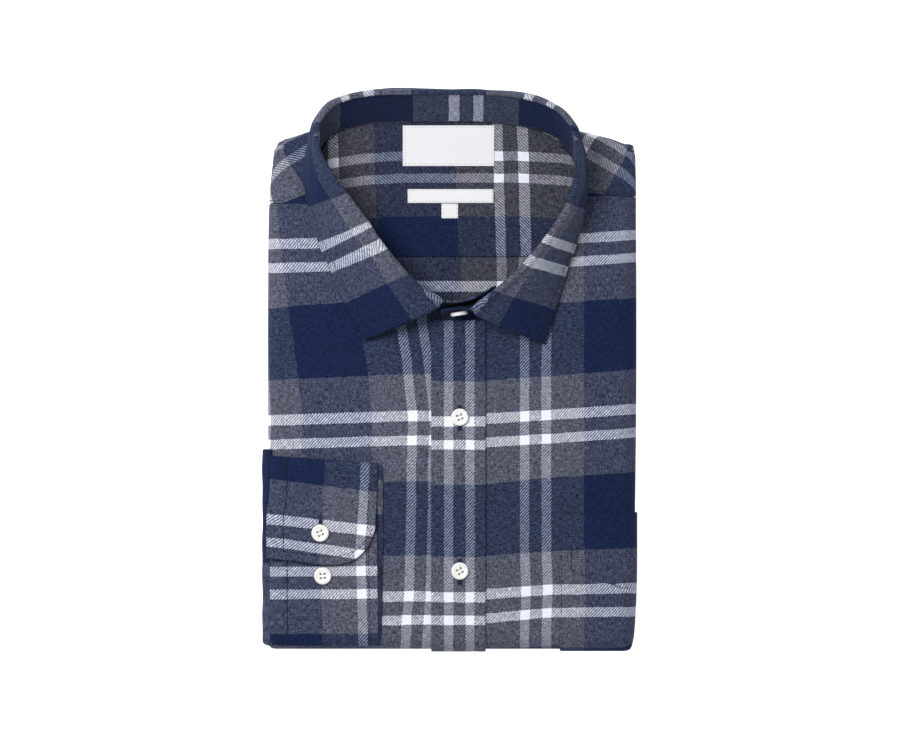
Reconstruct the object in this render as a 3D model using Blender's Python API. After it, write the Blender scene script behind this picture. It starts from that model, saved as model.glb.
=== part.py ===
"""A man's flannel shirt, folded for the shelf and lying on its back.

X runs across the shirt, Y from the bottom fold up to the collar, Z up from the shelf. Left and right
in the names are the wearer's, so the right front lies on the -X side. Sizes are in millimetres and
become metres when a mesh is made.

All the cloth that lies on the folded pack is described on one folded sheet: s runs across it and t
along it, both measured on the cloth, and lift is the distance out from the fronts' outer face.
"""

import math
from collections import namedtuple

import bmesh
import bpy
import numpy as np
from mathutils import Matrix, Vector

MM = 0.001

# ---- Cloth ----
WALL = 1.2  # one ply of brushed flannel, with its nap
STIFF_WALL = 1.5  # two plies and an interlining: collar, cuff and placket
SLEEVE_WALL = 2.4  # a flattened sleeve, both plies
LABEL_WALL = 1.0
SEAM = 0.3  # between pieces that touch
CORE_GAP = 0.5  # between the fronts and the layers folded behind them
CORE_FOLD_GAP = 0.5  # the further gap round the folds

# ---- The folded pack ----
PACK_HEIGHT = 22.0
FOLD_REACH = 8.5  # how far in from the outline a fold starts to turn down
FOLD_QUARTER = 18.0  # cloth in the quarter turn of a fold
FOLD_WIDEST = 10.5  # height at which a fold is widest
CORNER_POWER = 3.0  # 2 makes the corners of the pack round, more makes them squarer
BOTTOM = -180.4
FRONT_LIP = 20.5  # cloth from the start of a side fold to the fronts' hidden edge
POCKET_LIP = 19.5
SLEEVE_LIP = 26.0
SHOULDER_DROP = 5.0
NECK_BACK_DROP = 1.5
EDGE_DROP = 1.2
FOLD_STEPS = (0.0, 6.0, 12.0, 18.0)  # cloth lengths at which a fold is given points

Side = namedtuple("Side", "y left right")
SIDES = (
    Side(-182, -117.6, 117.6),
    Side(-167, -118.0, 119.0),
    Side(-145, -118.0, 120.2),
    Side(-90, -118.0, 120.7),
    Side(-60, -118.0, 121.1),
    Side(45, -118.1, 121.6),
    Side(100, -117.6, 121.3),
    Side(122, -116.6, 121.3),
    Side(136, -115.0, 121.0),
    Side(150, -114.0, 120.8),
)

Top = namedtuple("Top", "x y")
TOP_EDGE = (
    Top(-118, 146.6),
    Top(-110, 150.2),
    Top(-102, 152.6),
    Top(-90, 156.6),
    Top(-60, 163.0),
    Top(0, 166.0),
    Top(60, 162.5),
    Top(84, 156.4),
    Top(96, 153.6),
    Top(106, 151.0),
    Top(114, 147.8),
    Top(122, 143.6),
)

# Soft ridges (rise above 0) and troughs of the upper layers: the line's two ends, its reach and height.
Ridge = namedtuple("Ridge", "x0 y0 x1 y1 reach rise")
RIDGES = (
    Ridge(-106, 62, -66, 8, 24, 1.3),
    Ridge(-98, -28, -30, -40, 22, -1.2),
    Ridge(-36, 8, -30, -60, 26, 0.9),
    Ridge(44, 12, 98, -36, 26, 1.2),
    Ridge(104, 78, 70, 30, 24, -1.1),
    Ridge(40, -70, 60, -165, 26, -1.0),
    Ridge(78, -120, 116, -150, 24, 1.1),
    Ridge(-26, -100, -20, -168, 22, 1.0),
)

# ---- Neck and collar ----
# One row for each section round the collar, from the right front end round the back to the left one.
# roll: the inner edge of the rolled top. edge: the leaf's outer edge, where it is no lower than edge_z.
Section = namedtuple("Section", "roll_x roll_y roll_z edge_x edge_y edge_z lean")
COLLAR = (
    Section(-1.5, 45.9, 50.0, -55.6, 19.4, 22.0, 3.0),
    Section(-15.0, 54.1, 51.5, -64.4, 36.1, 22.0, 7.5),
    Section(-27.0, 65.3, 52.5, -71.2, 49.4, 22.0, 11.0),
    Section(-41.9, 83.2, 53.5, -78.2, 66.6, 22.0, 12.0),
    Section(-51.7, 97.8, 54.3, -84.8, 80.3, 21.0, 12.0),
    Section(-61.8, 111.5, 54.8, -88.8, 93.5, 20.0, 12.5),
    Section(-72.5, 125.8, 55.0, -92.2, 106.5, 19.0, 13.0),
    Section(-80.0, 137.5, 55.0, -94.4, 121.0, 18.0, 13.0),
    Section(-84.0, 148.0, 54.6, -94.3, 136.0, 18.0, 14.0),
    Section(-84.2, 157.5, 53.8, -91.8, 149.5, 17.0, 15.3),
    Section(-80.6, 165.5, 52.5, -87.6, 163.0, 13.5, 16.6),
    Section(-70.5, 173.9, 50.8, -76.6, 175.6, 10.5, 17.6),
    Section(-50.4, 178.3, 49.0, -53.4, 182.3, 8.5, 17.6),
    Section(-25.7, 179.0, 48.2, -26.2, 183.2, 7.5, 17.6),
    Section(0.0, 179.1, 48.0, 0.0, 183.2, 7.0, 17.6),
    Section(25.7, 178.7, 48.2, 26.6, 182.7, 7.5, 17.6),
    Section(48.4, 176.2, 49.0, 51.6, 179.6, 8.5, 17.6),
    Section(66.0, 170.6, 50.8, 71.4, 171.6, 10.5, 17.6),
    Section(75.4, 162.2, 52.5, 81.6, 160.0, 13.5, 16.6),
    Section(79.6, 153.4, 53.8, 86.6, 147.4, 17.0, 15.3),
    Section(81.6, 144.0, 54.6, 89.7, 134.5, 18.0, 14.0),
    Section(81.2, 133.0, 55.0, 90.2, 120.5, 18.0, 13.0),
    Section(78.6, 120.5, 55.0, 89.2, 108.5, 19.0, 13.0),
    Section(73.4, 106.5, 54.8, 86.4, 96.0, 20.0, 12.5),
    Section(64.7, 92.6, 54.3, 83.0, 82.5, 21.0, 12.0),
    Section(53.6, 78.3, 53.5, 77.4, 66.6, 22.0, 12.0),
    Section(41.9, 65.3, 52.5, 73.0, 52.0, 22.0, 11.0),
    Section(28.3, 53.6, 51.5, 68.6, 36.7, 22.0, 7.5),
    Section(11.4, 41.0, 50.0, 62.7, 17.2, 22.0, 3.0),
)
LEAF_STATIONS = 52
LEAF_ROLL_RISE = 3.6  # from the top of the stand to the top of the roll
LEAF_ROLL_WIDTH = 5.0
LEAF_BULGE = 1.6  # how far the leaf swells out between roll and edge
LEAF_FALL_STEPS = 4
LEAF_BOW = 2.2  # how far the leaf's two front edges bow out
LEAF_BOW_POWER = 0.45  # under 1 puts the bow nearer to the neck
LEAF_BOW_REACH = 0.06  # the share of the leaf's length that bows at each end
# The rolled top's section: how far over the roll's width, and height under the roll's top.
RollPoint = namedtuple("RollPoint", "over height")
ROLL_PROFILE = (
    RollPoint(0.0, -LEAF_ROLL_RISE),
    RollPoint(0.0, -1.9),
    RollPoint(0.22, -0.85),
    RollPoint(0.55, -0.55),
    RollPoint(0.85, -1.0),
    RollPoint(1.0, -2.4),
)
ROLL_SHARE = 0.86  # the most of the leaf's spread that the roll takes where the leaf stands steep
STAND_IN_ROLL = 1.5  # the stand's middle, out from the roll's inner edge
STAND_LAP_STEPS = 4
STAND_FOOTING = 1.1  # the foot clears the cloth this far to each side
UNDER_LAP = 18.0  # how far the under end of the stand runs past its leaf
OVER_LAP = 18.5
LAP_STEP = 0.6  # how far the under end draws back where they lap
LAP_REACH = 7.0  # the stations over which it does so
LAP_DROP = 0.8  # how much lower each end is at its tip
UNDER_RISE = 0.6  # how far back each end's tip lies
OVER_RISE = -2.8
NECK_HOLLOW = 6.0  # how far the inner yoke and the back sink inside the neck
HOLLOW_SIDES = (0.35, 1.05)  # where its sides start and end, as shares of the way to the neck seam
NECK_CENTRE = (0.0, 110.0)
NECK_TURNING = 0.9  # how far the outer yoke and the fronts run on inside the neck seam
INNER_MARGIN = 10.0  # how far the inner yoke and the back run on under the fronts
MARGIN_FALLS = (118.0, 144.0)  # y between which that margin falls to none, behind the neck
YOKE_SEAM_Y = 74.5  # the seam between the inner yoke and the back
FAN_START = 0.35  # how far inside the rim the seam's own ends lie

# ---- Fronts, yoke and placket ----
PLACKET_LEFT = -11.9
PLACKET_RIGHT = 23.6
PLACKET_TOP = 33.4
FRONTS_MEET = 6.0  # the fronts' hidden edges under the placket
FRONTS_APART = 1.5  # half the gap between those edges
FRONT_COLUMNS = 10
NECK_CELL = 9.0  # spacing of the fronts' rows beside the neck
NECK_LEAD = 3.0  # the last row below the neck, under its lowest point
NECK_SIDE = 110  # points of the neck seam beside each front
SEAM_LEAN_FROM = 60.0  # y above which the fronts' rows turn to the slope of the shoulder seam
SHOULDER_SEAM = {"right": (119.5, 109.5), "left": (117.5, 113.6)}  # y at the neck and at the side
SHOULDER_SEAM_X = 75.0  # where the seam meets the neck
YOKE_CORNER_Y = 150.0  # where the side fold meets the top fold
YOKE_BACK_STATIONS = 25
YOKE_FAN = 1.5  # neck seam given to each station, also at a corner of the pack
CELL = 12.5  # spacing of the points on the fronts and the pack
SHEET_STEP = 0.4  # how far apart the sheet is read to find the way out of it

# ---- Pocket ----
POCKET_LEFT = 71.7
POCKET_TOP = (-93.1, -91.3)  # at its left edge, at the side

# ---- Sleeve and cuff ----
CUFF_SEAM = -116.9
SLEEVE_TOP = -50.4
SLEEVE_BOTTOM = -176.5
SLEEVE_PUFF = 1.3

CuffEnd = namedtuple("CuffEnd", "x y")  # the lapped end's edge, with its rounded corner
CUFF_END = (
    CuffEnd(-117.0, -121.6),
    CuffEnd(-100.0, -123.3),
    CuffEnd(-84.0, -125.6),
    CuffEnd(-70.5, -125.2),
    CuffEnd(-62.5, -122.6),
    CuffEnd(-56.0, -117.5),
    CuffEnd(-51.0, -110.0),
    CuffEnd(-48.0, -101.5),
)

# The cuff's path from its lapped end, over the top, under and back: t along the cloth, how high its
# middle lies over the front, and where its free edge lies.
CuffTurn = namedtuple("CuffTurn", "t lift edge")
CUFF_PATH = (
    CuffTurn(-97.0, 4.65, -48.0),
    CuffTurn(-91.0, 3.9, -47.6),
    CuffTurn(-85.0, 3.05, -47.3),
    CuffTurn(-74.0, 2.85, -46.8),
    CuffTurn(-62.0, 2.85, -46.2),
    CuffTurn(-59.4, 2.6, -46.0),
    CuffTurn(-58.6, 1.95, -45.2),
    CuffTurn(-59.4, 1.3, -44.0),
    CuffTurn(-62.0, 1.05, -43.4),
    CuffTurn(-76.0, 1.05, -43.2),
    CuffTurn(-96.0, 1.05, -43.2),
    CuffTurn(-116.0, 1.05, -43.4),
    CuffTurn(-136.0, 1.05, -43.6),
    CuffTurn(-156.0, 1.05, -43.8),
    CuffTurn(-170.0, 1.05, -44.4),
    CuffTurn(-175.0, 1.05, -44.8),
    CuffTurn(-177.4, 1.3, -45.0),
    CuffTurn(-178.0, 1.95, -45.2),
    CuffTurn(-177.4, 2.6, -45.6),
    CuffTurn(-175.0, 2.85, -46.0),
    CuffTurn(-170.0, 2.85, -46.2),
    CuffTurn(-156.0, 2.85, -46.4),
    CuffTurn(-140.0, 2.85, -46.6),
    CuffTurn(-124.0, 2.85, -46.8),
    CuffTurn(-112.0, 2.85, -46.9),
    CuffTurn(-103.0, 2.85, -47.0),
)
CUFF_SLOPE = (3.4, -1.5)  # how much higher the top fold lies at the sleeve and at the free edge
CUFF_SLOPE_FROM = (-125.0, -75.0)  # from none of it to all of it
CUFF_COLUMNS = (-116.9, -113.2, -109.5, -102, -93, -84, -75, -67, -60, -55, -51.5, -49.2)

# ---- Labels, as boxes on the inner yoke ----
Label = namedtuple("Label", "name left right bottom top")
LABEL_CELL = 9.0
LABELS = (
    Label("label_neck", -30.4, 29.1, 133.6, 160.0),
    Label("label_care", -27.2, 28.6, 109.6, 118.6),
    Label("label_size", -5.2, 5.6, 99.6, 109.2),
)

# ---- Buttons ----
BUTTON_RADIUS = 5.7
BUTTON_HEIGHT = 2.6
BUTTON_RIM = 1.3
BUTTON_DISH = 0.5
BUTTON_HOLE_RADIUS = 0.65
BUTTON_HOLE_SPACING = 2.7
BUTTON_SIDES = 18

Button = namedtuple("Button", "name s t lift turn")
BUTTONS = (
    Button("button_front_1", 6.7, -29.7, SEAM + STIFF_WALL, 40),
    Button("button_front_2", 6.7, -129.7, SEAM + STIFF_WALL, 25),
    Button("button_cuff_1", -83.9, -105.0, 5.4, 35),
    Button("button_cuff_2", -82.3, -132.8, 3.6, 20),
)
COLLAR_BUTTON_X = 5.3
COLLAR_BUTTON_UP = 0.42  # how far up the stand, from its foot
COLLAR_BUTTON_SHANK = 1.3  # thread between the stand and the button
COLLAR_BUTTON_TURN = 20

# ---- The layers folded behind: how far each ring lies in from the outline, and its height ----
Layer = namedtuple("Layer", "inset z")
LAYER_EDGES = (
    Layer(2.2, 7.6),
    Layer(0.9, 7.2),
    Layer(0.5, 6.0),
    Layer(0.9, 4.9),
    Layer(3.4, 4.4),
    Layer(1.1, 3.9),
    Layer(0.6, 2.6),
    Layer(1.0, 1.1),
    Layer(2.6, 0.0),
)
CORE_LIP = 19.5
CORE_COLUMNS = 18
CORE_ROWS = 27
CORE_TURN = 5.0  # cloth into the fold over which the pack reaches its full gap
CORE_STEP = (2.0, 14.0)  # beyond the inner yoke's margin, where the pack rises again
CORE_STEEP = 0.6  # it sinks this much more round the fold, where the cloth is steep
CORE_SINK_ENDS = (9.5, 15.0)  # cloth into the fold over which the sinking ends

NAVY = (0.012, 0.020, 0.065)
GREY = (0.085, 0.090, 0.120)
PALE = (0.62, 0.63, 0.68)


# ---- Small helpers ----
def smooth(low, high, value):
    """Rises from 0 at low to 1 at high with no kink."""
    part = np.clip((np.asarray(value, float) - low) / (high - low), 0.0, 1.0)
    return part * part * (3.0 - 2.0 * part)


def through(knots, values, at):
    """A smooth curve through a table's values, read at one or many places."""
    knots = np.asarray(knots, float)
    values = np.asarray(values, float)
    slopes = np.gradient(values, knots, axis=0)
    at = np.clip(np.asarray(at, float), knots[0], knots[-1])
    row = np.clip(np.searchsorted(knots, at, side="right") - 1, 0, len(knots) - 2)
    span = knots[row + 1] - knots[row]
    part = (at - knots[row]) / span
    if values.ndim > 1:
        part = part[..., None]
        span = span[..., None]
    square = part * part
    cube = square * part
    return (
        (2 * cube - 3 * square + 1) * values[row]
        + (cube - 2 * square + part) * span * slopes[row]
        + (3 * square - 2 * cube) * values[row + 1]
        + (cube - square) * span * slopes[row + 1]
    )


def column(table, name):
    return np.array([getattr(row, name) for row in table], float)


def between(first, last, spacing):
    """Evenly spread values from first to last, at most spacing apart."""
    steps = max(1, math.ceil(abs(last - first) / spacing))
    return np.linspace(first, last, steps + 1)


# ---- The folded sheet ----
def side_left(y):
    return through(column(SIDES, "y"), column(SIDES, "left"), y) + FOLD_REACH


def side_right(y):
    return through(column(SIDES, "y"), column(SIDES, "right"), y) - FOLD_REACH


def top_edge(x):
    return through(column(TOP_EDGE, "x"), column(TOP_EDGE, "y"), x) - FOLD_REACH


BOTTOM_EDGE = BOTTOM + FOLD_REACH


def ridges(x, y):
    """Height that the soft ridges and troughs add."""
    total = np.zeros(np.broadcast(x, y).shape)
    for ridge in RIDGES:
        length = math.hypot(ridge.x1 - ridge.x0, ridge.y1 - ridge.y0)
        along = (ridge.x1 - ridge.x0) / length, (ridge.y1 - ridge.y0) / length
        run = (x - ridge.x0) * along[0] + (y - ridge.y0) * along[1]
        off = (x - ridge.x0) * -along[1] + (y - ridge.y0) * along[0]
        past = np.maximum(np.maximum(-run, run - length), 0.0)
        total = total + ridge.rise * np.exp(-2.0 * (off**2 + past**2) / ridge.reach**2)
    return total


def pack_top(x, y):
    """Height of the fronts' outer face where the pack is not turning down."""
    across = np.abs(x)
    return (
        PACK_HEIGHT
        - EDGE_DROP * (across / 118.0) ** 3
        - SHOULDER_DROP * smooth(55, 115, across) * smooth(80, 150, y)
        - NECK_BACK_DROP * smooth(110, 165, y)
        + ridges(x, y)
    )


def flat_part(s, t):
    """The nearest place of the sheet that does not turn down."""
    x = np.clip(s, side_left(t), side_right(t))
    return x, np.clip(t, BOTTOM_EDGE, top_edge(x))


def sheet_base(s, t):
    s = np.asarray(s, float)
    t = np.asarray(t, float)
    x, y = flat_part(s, t)
    past_x = s - x
    past_y = t - y
    past = np.maximum(np.abs(past_x), np.abs(past_y))
    norm = (np.abs(past_x) ** CORNER_POWER + np.abs(past_y) ** CORNER_POWER) ** (1 / CORNER_POWER)
    norm = np.maximum(norm, 1e-9)
    turn = np.minimum(past / FOLD_QUARTER, 1.0) * (math.pi / 2)
    reach = FOLD_REACH * np.sin(turn)
    height = pack_top(x, y)
    z = FOLD_WIDEST + (height - FOLD_WIDEST) * np.cos(turn) - np.maximum(past - FOLD_QUARTER, 0.0)
    return np.stack([x + past_x / norm * reach, y + past_y / norm * reach, z], axis=-1)


def sheet(s, t, lift=0.0):
    """The point of the folded sheet at s, t, lifted out from the fronts' outer face."""
    s, t, lift = np.broadcast_arrays(np.asarray(s, float), np.asarray(t, float), np.asarray(lift, float))
    step = SHEET_STEP
    across = sheet_base(s + step, t) - sheet_base(s - step, t)
    along = sheet_base(s, t + step) - sheet_base(s, t - step)
    normal = np.cross(across, along)
    normal /= np.linalg.norm(normal, axis=-1, keepdims=True)
    return sheet_base(s, t) + normal * lift[..., None]


def plan_height(x, y):
    """Height of the fronts' outer face over a point of the shelf, and 0 outside the pack."""
    x = np.asarray(x, float)
    y = np.asarray(y, float)
    inside_x = np.clip(x, side_left(y), side_right(y))
    inside_y = np.clip(y, BOTTOM_EDGE, top_edge(x))
    reach = (np.abs(x - inside_x) ** CORNER_POWER + np.abs(y - inside_y) ** CORNER_POWER) ** (1 / CORNER_POWER)
    turn = np.sqrt(np.clip(1.0 - (reach / FOLD_REACH) ** 2, 0.0, 1.0))
    height = FOLD_WIDEST + (pack_top(inside_x, inside_y) - FOLD_WIDEST) * turn
    return np.where(reach < FOLD_REACH, height, 0.0)


def on_sheet(x, y):
    """s and t of a point of the shelf, where only the top edge turns down there."""
    past = np.clip((y - top_edge(x)) / FOLD_REACH, 0.0, 0.999)
    return x, np.minimum(y, top_edge(x)) + np.arcsin(past) / (math.pi / 2) * FOLD_QUARTER


# ---- Meshes ----
def finish_object(name, mesh_data, color, roughness=0.85, sharp=40):
    """A named object with its own material, from points in millimetres."""
    mesh = bpy.data.meshes.new(name)
    mesh_data.to_mesh(mesh)
    mesh_data.free()
    mesh.transform(Matrix.Scale(MM, 4))
    mesh.shade_smooth()
    mesh.set_sharp_from_angle(angle=math.radians(sharp))
    material = bpy.data.materials.new(name)
    material.use_nodes = True
    shader = material.node_tree.nodes["Principled BSDF"]
    shader.inputs["Base Color"].default_value = (*color, 1.0)
    shader.inputs["Roughness"].default_value = roughness
    shader.inputs["Metallic"].default_value = 0.0
    mesh.materials.append(material)
    thing = bpy.data.objects.new(name, mesh)
    bpy.context.scene.collection.objects.link(thing)
    return thing


def face_outwards(mesh_data):
    if mesh_data.calc_volume(signed=True) < 0:
        bmesh.ops.reverse_faces(mesh_data, faces=mesh_data.faces[:])


def wall(outer, inner):
    """A closed wall between two grids of points, with its four narrow edges."""
    data = bmesh.new()
    rows, columns = outer.shape[:2]
    skins = []
    for grid in (outer, inner):
        skins.append([[data.verts.new(Vector(point)) for point in line] for line in grid])
    for i in range(rows - 1):
        for j in range(columns - 1):
            corners = ((i, j), (i + 1, j), (i + 1, j + 1), (i, j + 1))
            data.faces.new([skins[0][a][b] for a, b in corners])
            data.faces.new([skins[1][a][b] for a, b in reversed(corners)])
    border = [(i, 0) for i in range(rows)]
    border += [(rows - 1, j) for j in range(1, columns)]
    border += [(i, columns - 1) for i in range(rows - 2, -1, -1)]
    border += [(0, j) for j in range(columns - 2, 0, -1)]
    for here, after in zip(border, border[1:] + border[:1]):
        data.faces.new(
            [
                skins[0][after[0]][after[1]],
                skins[0][here[0]][here[1]],
                skins[1][here[0]][here[1]],
                skins[1][after[0]][after[1]],
            ]
        )
    face_outwards(data)
    return data


def sheet_wall(s, t, low, high):
    """A wall on the folded sheet, between two lifts."""
    return wall(sheet(s, t, high), sheet(s, t, low))


def bottom_rows(lip):
    """t of the rows round the bottom fold, from its hidden edge up to the flat."""
    steps = [lip] + [step for step in reversed(FOLD_STEPS) if step < lip]
    return [BOTTOM_EDGE - step for step in steps]


# ---- Neck curves ----
def collar_rows(stations):
    """The collar's table read at many sections, as a dict of columns."""
    knots = np.linspace(0.0, 1.0, len(COLLAR))
    at = np.linspace(0.0, 1.0, stations)
    return {name: through(knots, column(COLLAR, name), at) for name in Section._fields}


def neckline(stations):
    """The neck seam, in plan, from the front round the back to the front: the foot of the stand."""
    rows = collar_rows(stations)
    run = outward(rows)
    x = rows["roll_x"] + run[:, 0] * STAND_IN_ROLL
    y = rows["roll_y"] + run[:, 1] * STAND_IN_ROLL - rows["lean"]
    return np.stack([x, y], axis=-1)


def outward(rows):
    """Unit direction in plan from the roll to the leaf's edge at each section."""
    run = np.stack([rows["edge_x"] - rows["roll_x"], rows["edge_y"] - rows["roll_y"]], axis=-1)
    return run / np.linalg.norm(run, axis=-1, keepdims=True)


NECK = neckline(241)
NECK_FINE = np.vstack([[(FRONTS_MEET, NECK[0][1])], NECK, [(FRONTS_MEET, NECK[-1][1])]])


def neck_ratio(x, y):
    """0 at the middle of the neck, 1 on the neck seam."""
    turn = np.arctan2(NECK[:, 0] - NECK_CENTRE[0], NECK[:, 1] - NECK_CENTRE[1])
    reach = np.hypot(NECK[:, 0] - NECK_CENTRE[0], NECK[:, 1] - NECK_CENTRE[1])
    order = np.argsort(turn)
    at = np.arctan2(x - NECK_CENTRE[0], y - NECK_CENTRE[1])
    seam = np.interp(at, turn[order], reach[order], period=2 * math.pi)
    return np.hypot(x - NECK_CENTRE[0], y - NECK_CENTRE[1]) / seam


def inner_height(x, y):
    """Height of the inner yoke and the back, which sink inside the neck."""
    hollow = NECK_HOLLOW * (1.0 - smooth(*HOLLOW_SIDES, neck_ratio(x, y)))
    return plan_height(x, y) - WALL - SEAM - hollow


def shoulder_seam(side, s):
    """t of the seam between a front and the yoke: sloped to where the side turns down."""
    neck_y, side_y = SHOULDER_SEAM[side]
    if side == "right":
        return np.interp(s, [float(side_left(side_y)), -SHOULDER_SEAM_X], [side_y, neck_y])
    return np.interp(s, [SHOULDER_SEAM_X, float(side_right(side_y))], [neck_y, side_y])


# ---- The pieces ----
def front(side):
    """A front: from its hidden edge under the placket to the lip behind the side fold."""
    neck_y = SHOULDER_SEAM[side][0]
    if side == "right":
        neck = NECK[:NECK_SIDE][::-1]
        hidden = FRONTS_MEET - FRONTS_APART
    else:
        neck = NECK[-NECK_SIDE:]
        hidden = FRONTS_MEET + FRONTS_APART
    order = np.argsort(neck[:, 1])
    neck_front_y = neck[:, 1].min()
    flat_rows = np.concatenate(
        [
            between(BOTTOM_EDGE, neck_front_y - NECK_LEAD, CELL)[1:],
            between(neck_front_y, neck_y - SEAM / 2, NECK_CELL),
        ]
    )
    base_rows = np.concatenate([bottom_rows(FRONT_LIP), flat_rows])
    neck_x = np.interp(base_rows, neck[order, 1], neck[order, 0])
    # The strip under the stand: the front runs on inside the neck seam by half the stand's wall.
    inward = NECK_TURNING if side == "right" else -NECK_TURNING
    inner = np.where(base_rows < neck_front_y, hidden, neck_x + inward)
    first_above = int(np.argmax(base_rows >= neck_front_y))
    if side == "right":
        inner[first_above] = min(inner[first_above], hidden)
    else:
        inner[first_above] = max(inner[first_above], hidden)
    s_lines = []
    for row_inner, row_t in zip(inner, base_rows):
        flat = side_left(row_t) if side == "right" else side_right(row_t)
        sign = -1.0 if side == "right" else 1.0
        fold = [flat + sign * step for step in FOLD_STEPS] + [flat + sign * FRONT_LIP]
        s_lines.append(np.concatenate([np.linspace(row_inner, flat, FRONT_COLUMNS)[:-1], fold]))
    s = np.array(s_lines)
    seam_y = shoulder_seam(side, s)
    lean = smooth(SEAM_LEAN_FROM, neck_y, base_rows)[:, None]
    t = base_rows[:, None] + (seam_y - neck_y) * lean
    return sheet_wall(s, t, -WALL, 0.0)


def make_fronts():
    for side in ("right", "left"):
        finish_object(f"front_{side}", front(side), NAVY)


def make_placket():
    """The band down the middle, on both fronts."""
    t = np.concatenate(
        [bottom_rows(FRONT_LIP - 1.0), between(BOTTOM_EDGE, PLACKET_TOP, CELL)[1:]]
    )
    s = np.linspace(PLACKET_LEFT, PLACKET_RIGHT, 5)
    s, t = np.meshgrid(s, t)
    finish_object("placket", sheet_wall(s, t, SEAM, SEAM + STIFF_WALL), GREY)


def make_pocket():
    """The patch pocket, which turns round the side and the bottom with its front."""
    heights = np.concatenate([bottom_rows(POCKET_LIP), between(BOTTOM_EDGE, POCKET_TOP[0], CELL)[1:]])
    lines = []
    for height in heights:
        flat = float(side_right(height))
        fold = [flat + step for step in FOLD_STEPS] + [flat + POCKET_LIP]
        lines.append(np.concatenate([np.linspace(POCKET_LEFT, flat, 5)[:-1], fold]))
    s = np.array(lines)
    rise = (POCKET_TOP[1] - POCKET_TOP[0]) * smooth(-130, POCKET_TOP[0], heights)
    t = heights[:, None] + rise[:, None] * (s - POCKET_LEFT) / (s[:, -1:] - POCKET_LEFT)
    finish_object("pocket", sheet_wall(s, t, SEAM, SEAM + WALL), NAVY)


def make_yoke():
    """The outer yoke: a U round the neck, over the shoulders and down behind."""
    seam_right = NECK[:, 1] >= SHOULDER_SEAM["right"][0] + SEAM / 2
    start = int(np.argmax(seam_right))
    seam_left = NECK[:, 1] >= SHOULDER_SEAM["left"][0] + SEAM / 2
    end = len(NECK) - 1 - int(np.argmax(seam_left[::-1]))
    corner_left = float(side_left(YOKE_CORNER_Y)), float(top_edge(side_left(YOKE_CORNER_Y)))
    corner_right = float(side_right(YOKE_CORNER_Y)), float(top_edge(side_right(YOKE_CORNER_Y)))
    # Each station: where it leaves the flat, and the way it goes round the fold from there.
    stations = []
    right_seam = SHOULDER_SEAM["right"][1] + SEAM / 2
    left_seam = SHOULDER_SEAM["left"][1] + SEAM / 2
    for y in np.linspace(right_seam, corner_left[1], 5):
        stations.append((float(side_left(y)), y, -1.0, 0.0))
    for way in ((-1.0, 0.5), (-1.0, 1.0), (-0.5, 1.0)):
        stations.append((*corner_left, *way))
    for x in np.linspace(corner_left[0], corner_right[0], YOKE_BACK_STATIONS):
        stations.append((x, float(top_edge(x)), 0.0, 1.0))
    for way in ((0.5, 1.0), (1.0, 1.0), (1.0, 0.5)):
        stations.append((*corner_right, *way))
    for y in np.linspace(corner_right[1], left_seam, 5):
        stations.append((float(side_right(y)), y, 1.0, 0.0))
    stations = np.array(stations)
    # The neck end of each station, spread along the neck seam in step with the outline.
    flat = stations[:, :2]
    run = np.concatenate([[0.0], np.cumsum(np.linalg.norm(np.diff(flat, axis=0), axis=1) + YOKE_FAN)])
    picks = np.interp(run / run[-1], [0.0, 1.0], [start, end])
    centre = np.array(NECK_CENTRE)
    neck_x = np.interp(picks, np.arange(len(NECK)), NECK[:, 0])
    neck_y = np.interp(picks, np.arange(len(NECK)), NECK[:, 1])
    neck = np.stack([neck_x, neck_y], axis=-1)
    inward = centre - neck
    neck = neck + inward / np.linalg.norm(inward, axis=1, keepdims=True) * NECK_TURNING
    neck[0, 1] = shoulder_seam("right", neck[0, 0]) + SEAM / 2
    neck[-1, 1] = shoulder_seam("left", neck[-1, 0]) + SEAM / 2
    lines = []
    for (x, y, way_x, way_y), (start_x, start_y) in zip(stations, neck):
        start_s, start_t = on_sheet(start_x, start_y)
        past = max(0.0, float(start_t - top_edge(start_s)))
        begin = np.array([start_s, start_t])
        if past > 0.5 and way_y > 0:
            steps = np.linspace(past, FRONT_LIP, 3 + len(FOLD_STEPS) + 1)
            foot = np.array([start_s, float(top_edge(start_s))])
            away = np.array([x, y]) - foot
            shift = (steps - past) / (FRONT_LIP - past)
            line = [
                foot + away * part + np.array([way_x, way_y]) * step for part, step in zip(shift, steps)
            ]
        else:
            leave = np.array([x, y])
            line = [begin + (leave - begin) * part for part in (0.0, 1 / 3, 2 / 3)]
            line += [leave + np.array([way_x, way_y]) * step for step in (*FOLD_STEPS, FRONT_LIP)]
        lines.append(line)
    lines = np.array(lines)
    finish_object("yoke_outer", sheet_wall(lines[..., 0], lines[..., 1], -WALL, 0.0), GREY)


def inner_wall(points):
    """A wall inside the neck, through points in plan."""
    z = inner_height(points[..., 0], points[..., 1])
    outer = np.concatenate([points, z[..., None]], axis=-1)
    inner = outer - np.array([0.0, 0.0, WALL])
    return wall(outer, inner)


def inner_margin(points):
    """Moves neck points out under the fronts, but not past the back neck."""
    away = points - np.array(NECK_CENTRE)
    away /= np.linalg.norm(away, axis=-1, keepdims=True)
    back = smooth(*MARGIN_FALLS, points[:, 1])
    margin = INNER_MARGIN - (INNER_MARGIN + NECK_TURNING + 3.2 * SEAM) * back
    return points + away * margin[:, None]


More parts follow.
